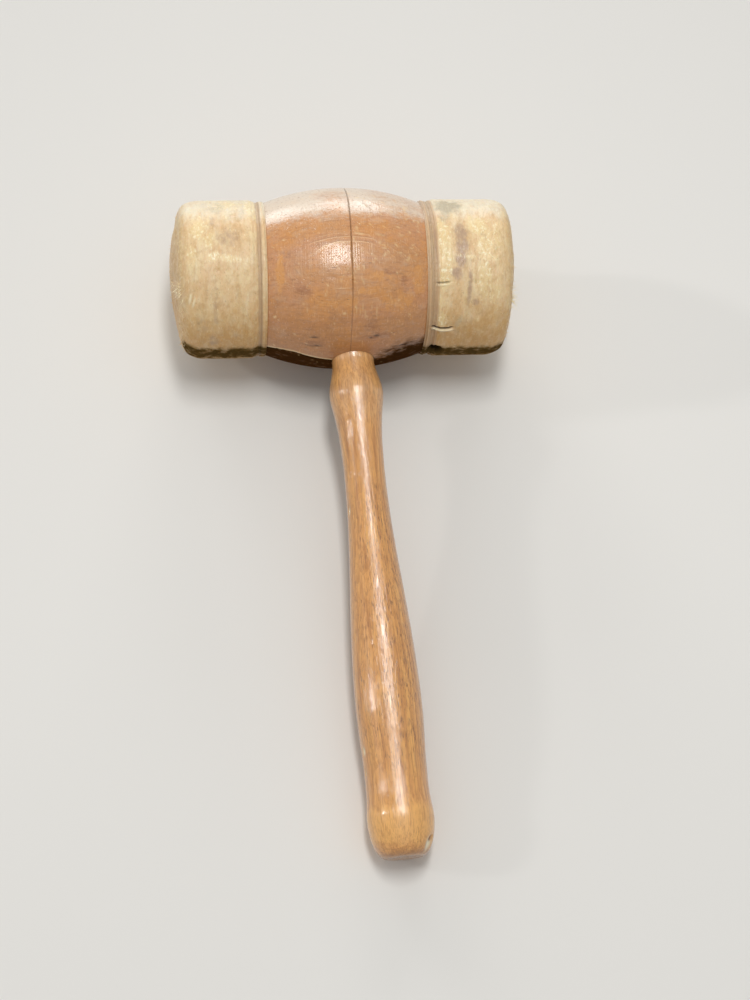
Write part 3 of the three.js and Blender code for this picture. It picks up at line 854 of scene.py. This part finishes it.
RIGHT = SimpleNamespace(
    piece="right_cap", fibres="right_fibres", node="right_hide_cap", length="right_length", wear="right_wear",
    side=1, seed=70, fibre_seed=82, tuft_angle=50, torn=(),
    dents=(46, (40, 70), (-98, 98), (0.5, 1.6), (1, 2.5), (0.06, 0.35), 74),
    blows=(34, (-24, 24), (-24, 24), (0.8, 3.2), (1, 2.2), (0.08, 0.4), 75),
    finer=((31, 39, 0.22), (67, 76, 0.22), (92, 102, 0.3)),
    creases=((34.2, 40.8, 35.2, 35.0, 34.2, 0.5), (33.0, 42.6, 69.6, 70.8, 69.8, 1.0)),
    hole=((36.4, 97.0, 2.2, 2.6, 0.15, 1.0),),
    ridge_height=0.15, skirt_reach=5.2, skirt_on_bead=1.0, dirt_from=88,
    polished_and_glints=(
        (37.8, -6, 2.6, 4.5, 0, 1.0), (38.6, 6, 2.9, 6.5, 0, 1.0), (38.6, 18, 3.0, 7.0, 0, 1.0),
        (37.4, 30, 3.2, 5.5, 0, 1.0), (37.0, 64, 2.6, 4.5, 0, 0.9), (36.2, 52, 0.9, 5.0, 0, 0.8),
        (52.5, -8, 4.0, 5.0, 0, 0.9), (54.5, 10, 4.2, 7.5, 0, 0.85), (53.5, 30, 3.0, 9.0, 0, 0.8),
        (59.0, 2, 2.0, 9.0, 0, 0.6), (58.0, 42, 3.0, 6.0, 0, 0.5), (47.0, 16, 5.0, 1.0, 0.1, 0.6),
    ),
    stained=(
        (45.0, -3, 2.9, 5.0, 0, 1.0), (45.2, 8, 2.9, 5.5, 0, 1.0), (44.4, 18, 2.6, 4.6, 0, 0.9),
        (42.8, 28, 2.6, 2.8, 0, 1.0), (47.8, 38, 1.1, 9.5, 0.05, 0.85), (50.0, 49, 2.2, 1.4, 0.2, 0.8),
        (34.9, 4, 0.9, 12.0, 0, 0.8), (54.0, -1, 1.5, 2.5, 0, 0.5),
    ),
    greyed=((41.5, -33, 6.5, 7.5, 0, 1.0), (39.0, -20, 2.5, 5.0, 0, 0.7), (44.5, 68, 2.6, 5.0, 0, 0.5)),
)
HOLE_DEPTH = 3.2


def face_places(look, cap):
    """Along the head's axis: a cap's unworn face, the floor of its cavity behind it, and the middles of
    the arcs of its dome and rim; and how far from the axis the rim's middle is."""
    face_at = look.edge + getattr(look, cap.length)
    rim_centre = CAP_RADIUS - look.rim_round
    dome_at = face_at - math.sqrt(look.dome_radius ** 2 - look.flat_radius ** 2)
    rim_at = dome_at + math.sqrt((look.dome_radius - look.rim_round) ** 2 - rim_centre ** 2)
    return face_at, face_at - look.face_thickness, dome_at, rim_at, rim_centre


def cap_outline(look, cap):
    """The cup of a cap in half section, from inside its cavity over the rolled edge to its face."""
    face_at, floor, dome_at, rim_at, rim_centre = face_places(look, cap)
    cavity = CAP_RADIUS - look.wall
    flat_turn = math.asin(look.flat_radius / look.dome_radius)
    rim_turn = math.atan2(rim_centre, rim_at - dome_at)
    drawn_in = CAP_RADIUS - look.dip
    bead_end = look.edge + look.bead_length
    body_from = bead_end + look.dip_length
    bead_turn = np.linspace(0, math.pi, 13)[1:]
    bead = np.stack([
        look.edge + look.bead_length * (1 - np.cos(bead_turn)) / 2,
        drawn_in + look.bead_rise * np.sin(bead_turn),
    ], 1)
    body = np.linspace(body_from, rim_at, round((rim_at - body_from) / 0.45))[1:-1]
    flat = np.linspace(look.flat_radius, 0.4, 9)[1:]
    return np.concatenate([
        [(floor, 0.4), (floor, cavity), (look.edge, cavity), (look.edge, drawn_in)],
        bead,
        eased((bead_end, drawn_in), (body_from, CAP_RADIUS), 0.4, 0.4, 12)[1:],
        np.stack([body, np.full(body.shape, CAP_RADIUS)], 1),
        arc((rim_at, rim_centre), look.rim_round, look.rim_round, math.pi / 2, rim_turn, 34),
        arc((dome_at, 0), look.dome_radius, look.dome_radius, rim_turn, flat_turn, 26)[1:],
        np.stack([np.full(flat.shape, face_at), flat], 1),
    ])


def crease_fields(cap, along, angle):
    """How strongly each point lies in a crease, and on the lip beside it."""
    slit = np.zeros(along.shape)
    lip = np.zeros(along.shape)
    for start, end, first, middle, last, strength in cap.creases:
        through = np.clip((along - start) / (end - start), 0, 1)
        bow = 4 * (middle - (first + last) / 2) * through * (1 - through)
        off = (angle - (first + (last - first) * through + bow)) * DEG * CAP_RADIUS
        ends = rise(along, start, start + 1.2) * rise(along, end, end - 1.8)
        slit = np.maximum(slit, strength * ends * np.exp(-((off + 0.2) / 0.34) ** 2))
        lip = np.maximum(lip, strength * ends * np.exp(-((off - 0.75) / 0.55) ** 2))
    return slit, lip


def ridge_waves(look, along):
    """The fine ridges that shrinking left beside the barrel, as waves from -1 to 1."""
    return np.sin((along - look.edge) / 1.5 * 2 * math.pi)


def build_cap(look, cap):
    face_at, floor, _, rim_at, rim_centre = face_places(look, cap)
    outline = cap_outline(look, cap)
    angles = stations((-180, 179.1, 0.9), *cap.finer)
    flat = turned(outline, angles)
    out_along = flat[..., 0]
    along = cap.side * out_along
    mark = partial(marked, along, angles, radius=CAP_RADIUS)
    on_face = rise(out_along, face_at - 9, face_at - 3)
    wander = 0.35 * unevenness(flat * (0, 1, 1), 12, cap.seed + 1)
    ridges = rise(out_along, look.edge + 6.5, look.edge + 4) * ridge_waves(look, out_along + wander)
    broad = 0.16 * (1 + unevenness(flat, 13, cap.seed)) + 0.05 * unevenness(flat, 3, cap.seed + 2)
    battered = 0.5 * np.abs(unevenness(flat, 6, cap.seed + 3)) * on_face
    dents = pressed(along, angles * DEG * CAP_RADIUS, scattered(*cap.dents))
    blows = pressed(flat[..., 1], flat[..., 2], scattered(*cap.blows))
    # The rim is fuller on the side that lies away from the handle
    away = rise(angles, 15, -35) * rise(angles, -165, -110)
    rim_turn = np.arctan2(np.hypot(flat[..., 1], flat[..., 2]) - rim_centre, out_along - rim_at) / DEG
    fuller = 0.9 * away * np.exp(-((rim_turn - 50) / 20) ** 2)
    depth = broad + battered + dents + blows * on_face + cap.ridge_height * ridges - fuller
    slit, lip = crease_fields(cap, along, angles)
    depth += 0.8 * slit - 0.5 * lip + HOLE_DEPTH * mark(cap.hole) - 0.35 * mark(cap.torn)
    outside = (outline[:, 1:] > CAP_RADIUS - look.wall + 0.2) | (outline[:, :1] > floor + 1)
    depth *= outside & (outline[:, :1] > look.edge + 0.02)
    rings = turned(outline, angles, depth)
    towards_handle = (1 - rings[..., 1] / CAP_RADIUS) / 2
    worn_share = np.maximum(0, (out_along - floor) / look.face_thickness)
    rings[..., 0] -= getattr(look, cap.wear) * worn_share * towards_handle
    rings[..., 0] *= cap.side
    piece = skin(cap.piece, [rings])
    mark_cap(look, cap, piece)
    return piece


def mark_cap(look, cap, piece):
    """Stores where a cap is rubbed, stained, dirty and creased, and where a sheen, glints and shade are
    painted on it.
    """
    points = own_points(piece)
    along, angle = unwound(points)
    mark = partial(marked, along, angle, radius=CAP_RADIUS)
    from_edge = cap.side * along - look.edge
    radius = np.hypot(points[:, 1], points[:, 2])
    outer = rise(radius, CAP_RADIUS - 3.5, CAP_RADIUS - 1.5)
    bead_line = np.exp(-((from_edge - look.bead_length) / 0.3) ** 2)
    by_barrel = rise(from_edge, cap.skirt_reach, cap.skirt_reach - 1.2)
    beyond_bead = cap.skirt_on_bead + (1 - cap.skirt_on_bead) * rise(from_edge, 1.6, 2.2)
    # Pale tops: partly wear, partly a painted sheen
    bleached = rise(angle, -8, -34) * rise(angle, -110, -70) * rise(radius, 20, 28)
    # Dark on the low side near the rim: dirt together with painted shade, strongest near its upper line
    dirt = rise(angle, cap.dirt_from - 3, cap.dirt_from + 12) * rise(angle, 174, 125)
    dirt *= 0.55 + 0.45 * rise(angle, cap.dirt_from + 32, cap.dirt_from + 14)
    dirt *= rise(radius, CAP_RADIUS - 8, CAP_RADIUS - 3)
    slit, lip = crease_fields(cap, along, angle)
    # The low field is painted shade, browner and darker on the low side
    keep(
        piece, made_mm=points + np.array((cap.side * 100, 0, 0)), polish=mark(cap.polished_and_glints) * outer,
        stain=mark(cap.stained) * outer, grey=mark(cap.greyed) * outer,
        skirt=by_barrel * 0.85 * beyond_bead,
        rim=rise(from_edge, 30, 35) * rise(radius, 15, 24),
        low=rise(angle, 25, 95) * rise(angle, 176, 140), bleached=bleached, dirt=dirt,
        struck=rise(radius, 27, 12) * rise(from_edge, 30, 33),
        ridges=np.maximum(-ridge_waves(look, cap.side * along) * by_barrel, 0),
        pits=np.clip(np.maximum.reduce([slit * 1.2, mark(cap.hole) * 1.5, 0.25 * bead_line]), 0, 1),
        lips=np.maximum(0.75 * lip, 0.8 * mark(cap.torn)),
    )


# Torn fibres: how many in all, in the tuft and on the dome, and how deep their roots are in mm
FIBRES = 230
IN_TUFT = 30
ON_DOME = 28
ROOT_DEPTH = 0.35


def rim_point(look, cap, angle, turn):
    """A point near a cap's rim and the direction out of it; turn is counted from the head's axis."""
    _, floor, dome_at, rim_at, rim_centre = face_places(look, cap)
    middle, offset, reach = rim_at, rim_centre, look.rim_round
    if turn < math.atan2(rim_centre, rim_at - dome_at):
        middle, offset, reach = dome_at, 0, look.dome_radius
    reach -= ROOT_DEPTH
    along = middle + reach * math.cos(turn)
    radius = offset + reach * math.sin(turn)
    towards_handle = (1 + radius * math.sin(angle) / CAP_RADIUS) / 2
    wear = getattr(look, cap.wear)
    along -= wear * max(0, (along - floor) / look.face_thickness) * towards_handle
    out = Vector((
        cap.side * math.cos(turn), -math.sin(turn) * math.sin(angle), math.sin(turn) * math.cos(angle),
    ))
    return Vector((cap.side * along, -radius * math.sin(angle), radius * math.cos(angle))), out


def fibre(point, out, heading, reach, thickness, curl):
    """One torn fibre: a thin tapered tube that lies along the hide and lifts off at its tip."""
    sideways = out.cross(heading).normalized()
    rings = []
    for step in range(6):
        through = step / 5
        centre = point + heading * reach * through + out * (curl * through ** 2 * reach)
        centre += sideways * (0.25 * reach * math.sin(2.2 * through))
        wide = thickness * (1 - 0.85 * through)
        turns = np.arange(5) * 2 * math.pi / 5
        rings.append([
            list(centre + sideways * (wide * math.cos(turn)) + out * (wide * math.sin(turn)))
            for turn in turns
        ])
    return np.array(rings)


def build_fibres(look, cap):
    draw = random.Random(cap.fibre_seed)
    forms = []
    paleness = []
    room = left_low.x - HEAD_MIDDLE.x + 0.05, right_high.x - HEAD_MIDDLE.x - 0.05
    for index in range(FIBRES):
        in_tuft = index < IN_TUFT
        on_dome = IN_TUFT <= index < IN_TUFT + ON_DOME
        angle = draw.gauss(cap.tuft_angle, 3.5) * DEG if in_tuft else draw.uniform(-150, 150) * DEG
        turn = draw.uniform(7, 36) * DEG if in_tuft else draw.triangular(14, 50, 34) * DEG
        if on_dome:
            turn = draw.uniform(2, 12) * DEG
        point, out = rim_point(look, cap, angle, turn)
        round_about = Vector((0, -math.cos(angle), -math.sin(angle)))
        heading = round_about * draw.choice((-1, 1)) + out.cross(round_about) * draw.uniform(-0.7, 0.7)
        heading += out * (draw.uniform(0.5, 1.5) if on_dome or in_tuft else draw.uniform(0, 0.6))
        heading.normalize()
        reach = draw.uniform(1.5, 3.2) if in_tuft else draw.uniform(0.7, 1.7)
        form = fibre(
            point - out * 0.12, out, heading, reach, draw.uniform(0.1, 0.17),
            draw.uniform(0.3, 0.6) if in_tuft else draw.uniform(0.15, 0.5),
        )
        form[..., 0] = np.clip(form[..., 0], *room)
        forms.append(form)
        paleness += [0.9 if in_tuft else 0.35] * (form.shape[0] * form.shape[1] + 2)
    fibres = skin(cap.fibres, forms)
    keep(fibres, made_mm=own_points(fibres), lips=np.array(paleness))
    return fibres


# The handle and its wedge

# Bare chips, and a dark pit at the butt, as marks on a grip of one radius
CHIPS = (
    (229.3, -56, 2.3, 1.9, 0.25, 1.0), (99.6, 71, 1.7, 0.9, 0.2, 1.1),
    (193.2, 75, 1.5, 1.0, -0.2, 1.1), (201.5, 79, 0.8, 0.6, 0.1, 1.0),
)
PITS = ((227.4, -60, 1.1, 0.9, 0.5, 1.0),)
HANDLE_DENTS = (44, (55, 226), (-37, 37), (0.6, 1.6), (1, 3), (0.03, 0.16), 33)
GRIP_RADIUS = 12
# The sawn kerf: its room beside the wedge, how far from the axis its cut reaches, and where it starts
KERF_ROOM = 0.14
KERF_REACH = 12
KERF_TOP = -48
# Between these places on the handle's line lies the barrel's back
INSIDE_BACK = -15.0
OUTSIDE_BACK = -50.0


def handle_outline(look):
    """The handle in half section, from the wedged end of its tenon to its butt."""
    stops = [
        (getattr(look, f"{stop}_at"), getattr(look, f"{stop}_radius"))
        for stop in ("neck", "collar", "throat", "swell", "waist", "flare")
    ]
    bends = ((0.35, 0.35, 24), (0.12, 0.7, 36), (0.36, 0.38, 110), (0.3, 0.4, 36), (0.6, 0.25, 24))
    tenon = [(at, look.neck_radius) for at in (-20, 0, 20, look.neck_at)]
    end = [(-30, look.neck_radius * share) for share in (0.05, 0.25, 0.45, 0.65, 0.8, 0.92, 1)]
    face_at = look.butt_at - 0.05
    butt = arc(
        (look.flare_at, look.butt_radius), look.flare_radius - look.butt_radius, face_at - look.flare_at,
        math.pi / 2, 0, 40,
    )
    face = [(face_at, look.butt_radius * share) for share in (0.8, 0.6, 0.4, 0.2, 0.05)]
    spans = [eased(start, stop, *bend)[1:] for start, stop, bend in zip(stops, stops[1:], bends)]
    outline = np.concatenate([end, tenon, *spans, butt[1:], face])
    outline[:, 1] *= HANDLE_FIT
    return outline, len(end)


def flush(look, points, eye, below):
    """Slides points along the handle's line until they lie just below the barrel's back."""
    inside = np.full(points.shape[:-1], INSIDE_BACK)
    outside = np.full(points.shape[:-1], OUTSIDE_BACK)
    moved = points.copy()
    for _ in range(30):
        middle = (inside + outside) / 2
        moved[..., 0] = middle
        from_head = placed(moved, eye, HANDLE_AXES) - np.array(HEAD_MIDDLE)
        beyond = np.hypot(from_head[..., 1], from_head[..., 2]) > belly_at(look, from_head[..., 0]) - below
        outside = np.where(beyond, middle, outside)
        inside = np.where(beyond, inside, middle)
    moved[..., 0] = inside
    return moved


def build_handle(look, barrel_look, eye):
    outline, end_rows = handle_outline(look)
    angles = np.arange(0, 360, 2.25) - 180
    flat = turned(outline, angles)
    along = flat[..., 0]
    mark = partial(marked, along, angles, radius=GRIP_RADIUS)
    broad = 0.05 * (1 + unevenness(flat, 15, 31)) + 0.02 * (1 + unevenness(flat, 5, 32))
    dents = pressed(along, angles * DEG * GRIP_RADIUS, scattered(*HANDLE_DENTS))
    depth = (broad + dents + 0.55 * mark(CHIPS) + 0.7 * mark(PITS)) * (outline[:, :1] > look.neck_at)
    rings = turned(outline, angles, depth)
    rings[:end_rows] = flush(barrel_look, rings[:end_rows], eye, 0.06)
    handle = skin("turned_handle", [rings], eye, HANDLE_AXES)
    kerf = wedge_rings(look, KERF_ROOM, KERF_REACH)
    kerf_top = kerf[-1:].copy()
    kerf_top[..., 0] = KERF_TOP
    cut_away(handle, skin("kerf_cutter", [np.concatenate([kerf, kerf_top])], eye, HANDLE_AXES))
    mark_handle(look, handle, eye)
    return handle


def mark_handle(look, handle, eye):
    """Stores where the handle is cut across, chipped, paler and open-grained; the paler band round the flare
    is painted light.
    """
    points = own_points(handle, eye, HANDLE_AXES)
    along, angle = unwound(points)
    mark = partial(marked, along, angle, radius=GRIP_RADIUS)
    off_axis = np.hypot(points[:, 1], points[:, 2]) > 5
    butt_end = rise(along, look.butt_at - 3.2, look.butt_at - 0.8)
    open_grain = rise(along, 72, 100) * rise(along, 212, 190) * (0.5 + 0.3 * rise(angle, 45, -5))
    keep(
        handle, made_mm=points, end_grain=np.maximum(0.75 * butt_end, rise(along, -15, -20)),
        neck=rise(along, 78, 42), open_grain=open_grain,
        # A paler band round the flare: painted light
        butt=rise(along, 210, 220) * rise(along, 231, 226),
        chip=mark(CHIPS) * off_axis, pit=mark(PITS) * off_axis,
    )


def wedge_rings(look, margin, reach):
    """Rings of the wedge from its tip to the barrel's surface: a taper with ends rounded to the eye."""
    rings = []
    for through in np.linspace(0, 1, 10):
        thick = look.wedge_tip + (look.wedge_thickness - look.wedge_tip) * through
        half = thick / 2 + margin
        side = np.linspace(-1, 1, 25) * math.sqrt(reach ** 2 - half ** 2)
        turn = math.asin(half / reach)
        curve = np.linspace(turn, -turn, 6)[1:-1]
        top = np.stack([reach * np.sin(curve), reach * np.cos(curve)], 1)
        flank = np.stack([np.full(side.shape, half), side], 1)
        loop = np.concatenate([flank, top, -flank, -top])
        at = -(look.neck_at - look.wedge_length) - look.wedge_length * through + margin * (through == 0)
        rings.append(np.concatenate([np.full((len(loop), 1), at), loop], 1))
    return np.array(rings)


def build_wedge(look, barrel_look, eye):
    rings = wedge_rings(look, -0.02, look.neck_radius * HANDLE_FIT - 0.05)
    top = np.array([rings[-1] * (1, share, share) for share in (1, 0.97, 0.8, 0.6, 0.4, 0.2, 0.06)])
    top = flush(barrel_look, top, eye, 0.1)
    top[..., 0] += 0.05 * (1 + unevenness(top, 1.5, 41))
    wedge = skin("tenon_wedge_end", [np.concatenate([rings[:-1], top])], eye, HANDLE_AXES)
    keep(wedge, made_mm=own_points(wedge, eye, HANDLE_AXES))
    return wedge


# What a user runs

class MALLET_OT_turn_barrel(bpy.types.Operator):
    """Build the turned barrel with its scribed line, check, nicks and bored eye"""

    bl_idname = "mallet.turn_barrel"
    bl_label = "Turn barrel"

    def execute(self, context):
        look = in_mm(context.scene.mallet_barrel)
        barrel = build_barrel(look, eye_point(in_mm(context.scene.mallet_handle)))
        dress(barrel, beech_turned_and_oiled(look), "barrel_hardwood", "head_barrel")
        return {"FINISHED"}


class MALLET_OT_shrink_caps(bpy.types.Operator):
    """Build both rawhide caps with their rolled edges, creases and faces lowered by wear"""

    bl_idname = "mallet.shrink_caps"
    bl_label = "Shrink caps"

    def execute(self, context):
        look = in_mm(context.scene.mallet_caps)
        hide = rawhide_shrunk_and_dried(look)
        for cap in (LEFT, RIGHT):
            dress(build_cap(look, cap), hide, "rawhide", cap.node)
        return {"FINISHED"}


class MALLET_OT_fray_rims(bpy.types.Operator):
    """Build the torn fibres that stand off the rims of both caps"""

    bl_idname = "mallet.fray_rims"
    bl_label = "Fray rims"

    def execute(self, context):
        look = in_mm(context.scene.mallet_caps)
        for cap in (LEFT, RIGHT):
            dress(build_fibres(look, cap), bpy.data.materials["rawhide_shrunk_and_dried"], "rawhide")
        return {"FINISHED"}


class MALLET_OT_turn_handle(bpy.types.Operator):
    """Build the turned handle with its tenon trimmed flush and sawn for the wedge"""

    bl_idname = "mallet.turn_handle"
    bl_label = "Turn handle"

    def execute(self, context):
        look = in_mm(context.scene.mallet_handle)
        handle = build_handle(look, in_mm(context.scene.mallet_barrel), eye_point(look))
        dress(handle, hickory_turned_and_varnished(look), "handle_hardwood", "handle")
        return {"FINISHED"}


class MALLET_OT_drive_wedge(bpy.types.Operator):
    """Build the wedge that spreads the tenon in the eye"""

    bl_idname = "mallet.drive_wedge"
    bl_label = "Drive wedge"

    def execute(self, context):
        look = in_mm(context.scene.mallet_handle)
        wedge = build_wedge(look, in_mm(context.scene.mallet_barrel), eye_point(look))
        dress(wedge, oak_split_end_grain(look), "wedge_hardwood", "tenon_wedge")
        return {"FINISHED"}


class MALLET_OT_set_stage(bpy.types.Operator):
    """Build the pale floor, the soft lights and the camera at the photograph's angle"""

    bl_idname = "mallet.set_stage"
    bl_label = "Set stage"

    def execute(self, context):
        look = context.scene.mallet_stage
        build_floor(look)
        build_lights(context, look)
        build_camera(context, look)
        return {"FINISHED"}


class MALLET_PT_pieces(bpy.types.Panel):
    """Lists the steps that build the mallet"""

    bl_idname = "MALLET_PT_pieces"
    bl_label = "Hide-capped mallet"
    bl_space_type = "VIEW_3D"
    bl_region_type = "UI"
    bl_category = "Mallet"

    def draw(self, context):
        for step in STEPS:
            self.layout.operator(step.bl_idname)


def eye_point(handle_look):
    """Where the handle's line crosses the head's axis."""
    return Vector(BUTT["pos_m"]) / MM - HANDLE_LINE * handle_look.butt_at


# The floor, the lights and the camera, in metres

# How far from the mallet the floor begins and ends to take on the backdrop's colour
FADE_FROM = 0.32
FADE_TO = 1.1
# The lamp hangs over the mallet, long the way the handle lies, and gives it its clear highlights
LAMP_PLACE = (0.0, 0.08, 1.0)
LAMP_SIZE = (0.13, 0.42)
# Found by fitting a pinhole camera to the outlines in the photograph; its height and focal in pixels
PHOTO_HEIGHT = 1000
FOCAL_PIXELS = 1850
PITCH, YAW, ROLL = 24.31 * DEG, -6.18 * DEG, -4.11 * DEG
TARGET = Vector((6.993, -0.480, 36.0)) * MM
SENSOR_WIDTH = 36


def seen_directly(tree):
    """1 for what the camera or a reflection sees, and 0 for the light that falls on the mallet."""
    rays = add_node(tree, "ShaderNodeLightPath", {}).outputs
    sources = {0: rays["Is Camera Ray"], 1: rays["Is Glossy Ray"]}
    return add_node(tree, "ShaderNodeMath", {"operation": "MAXIMUM"}, sources)


def build_floor(look):
    reach = look.floor_reach
    mesh = bpy.data.meshes.new("floor")
    corner_points = [(-reach, -reach, 0), (reach, -reach, 0), (reach, reach, 0), (-reach, reach, 0)]
    mesh.from_pydata(corner_points, [], [(0, 1, 2, 3)])
    floor = bpy.data.objects.new("floor", mesh)
    bpy.context.scene.collection.objects.link(floor)
    material = bpy.data.materials.new("paper_matt")
    material.use_nodes = True
    tree = material.node_tree
    shader = tree.nodes["Principled BSDF"]
    place = add_node(tree, "ShaderNodeTexCoord", {}).outputs["Object"]
    away = add_node(tree, "ShaderNodeVectorMath", {"operation": "LENGTH"}, {0: place})
    far = add_node(
        tree, "ShaderNodeMapRange",
        {"interpolation_type": "SMOOTHSTEP", "From Min": FADE_FROM, "From Max": FADE_TO},
        {"Value": away.outputs["Value"]},
    )
    shown = add_node(tree, "ShaderNodeMath", {"operation": "MULTIPLY"}, {0: far, 1: seen_directly(tree)})
    colour = add_node(
        tree, "ShaderNodeMix", {"data_type": "RGBA", 6: (*look.floor, 1), 7: (0, 0, 0, 1)}, {0: shown},
    )
    tree.links.new(colour.outputs[2], shader.inputs["Base Color"])
    tree.links.new(shown.outputs[0], shader.inputs["Emission Strength"])
    shader.inputs["Emission Color"].default_value = (*look.backdrop, 1)
    shader.inputs["Roughness"].default_value = 0.85
    shader.inputs["Specular IOR Level"].default_value = 0.0
    mesh.materials.append(material)


def build_lights(context, look):
    # Each soft light: azimuth and elevation in degrees, how wide it looks in degrees, strength
    lights = (
        ("top", 0, 78, 80, look.top_strength),
        ("side", -98, 27, 4, look.side_strength),
        ("back", 173, 15, 24, look.back_strength),
        ("window", 201, 15, 24, look.back_strength),
    )
    for name, azimuth, elevation, width, strength in lights:
        sun = bpy.data.lights.new(name, "SUN")
        sun.angle = width * DEG
        sun.energy = strength
        a, e = azimuth * DEG, elevation * DEG
        towards = Vector((math.sin(a) * math.cos(e), -math.cos(a) * math.cos(e), math.sin(e)))
        light = bpy.data.objects.new(name, sun)
        light.location = HEAD_MIDDLE * MM + towards
        light.rotation_euler = towards.to_track_quat("Z", "Y").to_euler()
        context.scene.collection.objects.link(light)
    lamp = bpy.data.lights.new("lamp", "AREA")
    lamp.shape = "RECTANGLE"
    lamp.size, lamp.size_y = LAMP_SIZE
    lamp.energy = look.lamp_power
    hung = bpy.data.objects.new("lamp", lamp)
    hung.location = LAMP_PLACE
    context.scene.collection.objects.link(hung)
    world = bpy.data.worlds.new("soft_room")
    world.use_nodes = True
    tree = world.node_tree
    tree.nodes["Background"].inputs["Strength"].default_value = 1.0
    level = (look.sky, look.sky, look.sky, 1)
    shown = add_node(
        tree, "ShaderNodeMix", {"data_type": "RGBA", 6: level, 7: (*look.backdrop, 1)},
        {0: seen_directly(tree)},
    )
    tree.links.new(shown.outputs[2], tree.nodes["Background"].inputs["Color"])
    context.scene.world = world


def build_camera(context, look):
    back = Vector((math.sin(YAW), -math.sin(PITCH) * math.cos(YAW), math.cos(PITCH) * math.cos(YAW)))
    right = Vector((0, 1, 0)).cross(back).normalized()
    up = back.cross(right)
    turned_right = math.cos(ROLL) * right + math.sin(ROLL) * up
    turned_up = math.cos(ROLL) * up - math.sin(ROLL) * right
    data = bpy.data.cameras.new("camera")
    data.sensor_width = SENSOR_WIDTH
    data.lens = FOCAL_PIXELS / PHOTO_HEIGHT * SENSOR_WIDTH
    data.clip_start = 0.01
    data.clip_end = 20
    camera = bpy.data.objects.new("camera", data)
    camera.matrix_world = Matrix.Translation(TARGET + back * look.view_distance) @ Matrix(
        (turned_right, turned_up, back)
    ).transposed().to_4x4()
    context.scene.collection.objects.link(camera)
    context.scene.camera = camera
    context.scene.view_settings.view_transform = "Standard"


STEPS = (
    MALLET_OT_turn_barrel, MALLET_OT_shrink_caps, MALLET_OT_fray_rims, MALLET_OT_turn_handle,
    MALLET_OT_drive_wedge, MALLET_OT_set_stage,
)
SETTINGS = {
    "mallet_barrel": MalletBarrel,
    "mallet_caps": MalletCaps,
    "mallet_handle": MalletHandle,
    "mallet_stage": MalletStage,
}


def register():
    for kind in (*SETTINGS.values(), *STEPS, MALLET_PT_pieces):
        bpy.utils.register_class(kind)
    for name, kind in SETTINGS.items():
        setattr(bpy.types.Scene, name, PointerProperty(type=kind))


def unregister():
    for name in SETTINGS:
        delattr(bpy.types.Scene, name)
    for kind in (MALLET_PT_pieces, *reversed(STEPS), *reversed(SETTINGS.values())):
        bpy.utils.unregister_class(kind)


def main():
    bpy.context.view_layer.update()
    register()
    for step in STEPS:
        group, name = step.bl_idname.split(".")
        getattr(getattr(bpy.ops, group), name)()


if __name__ == "__main__":
    main()
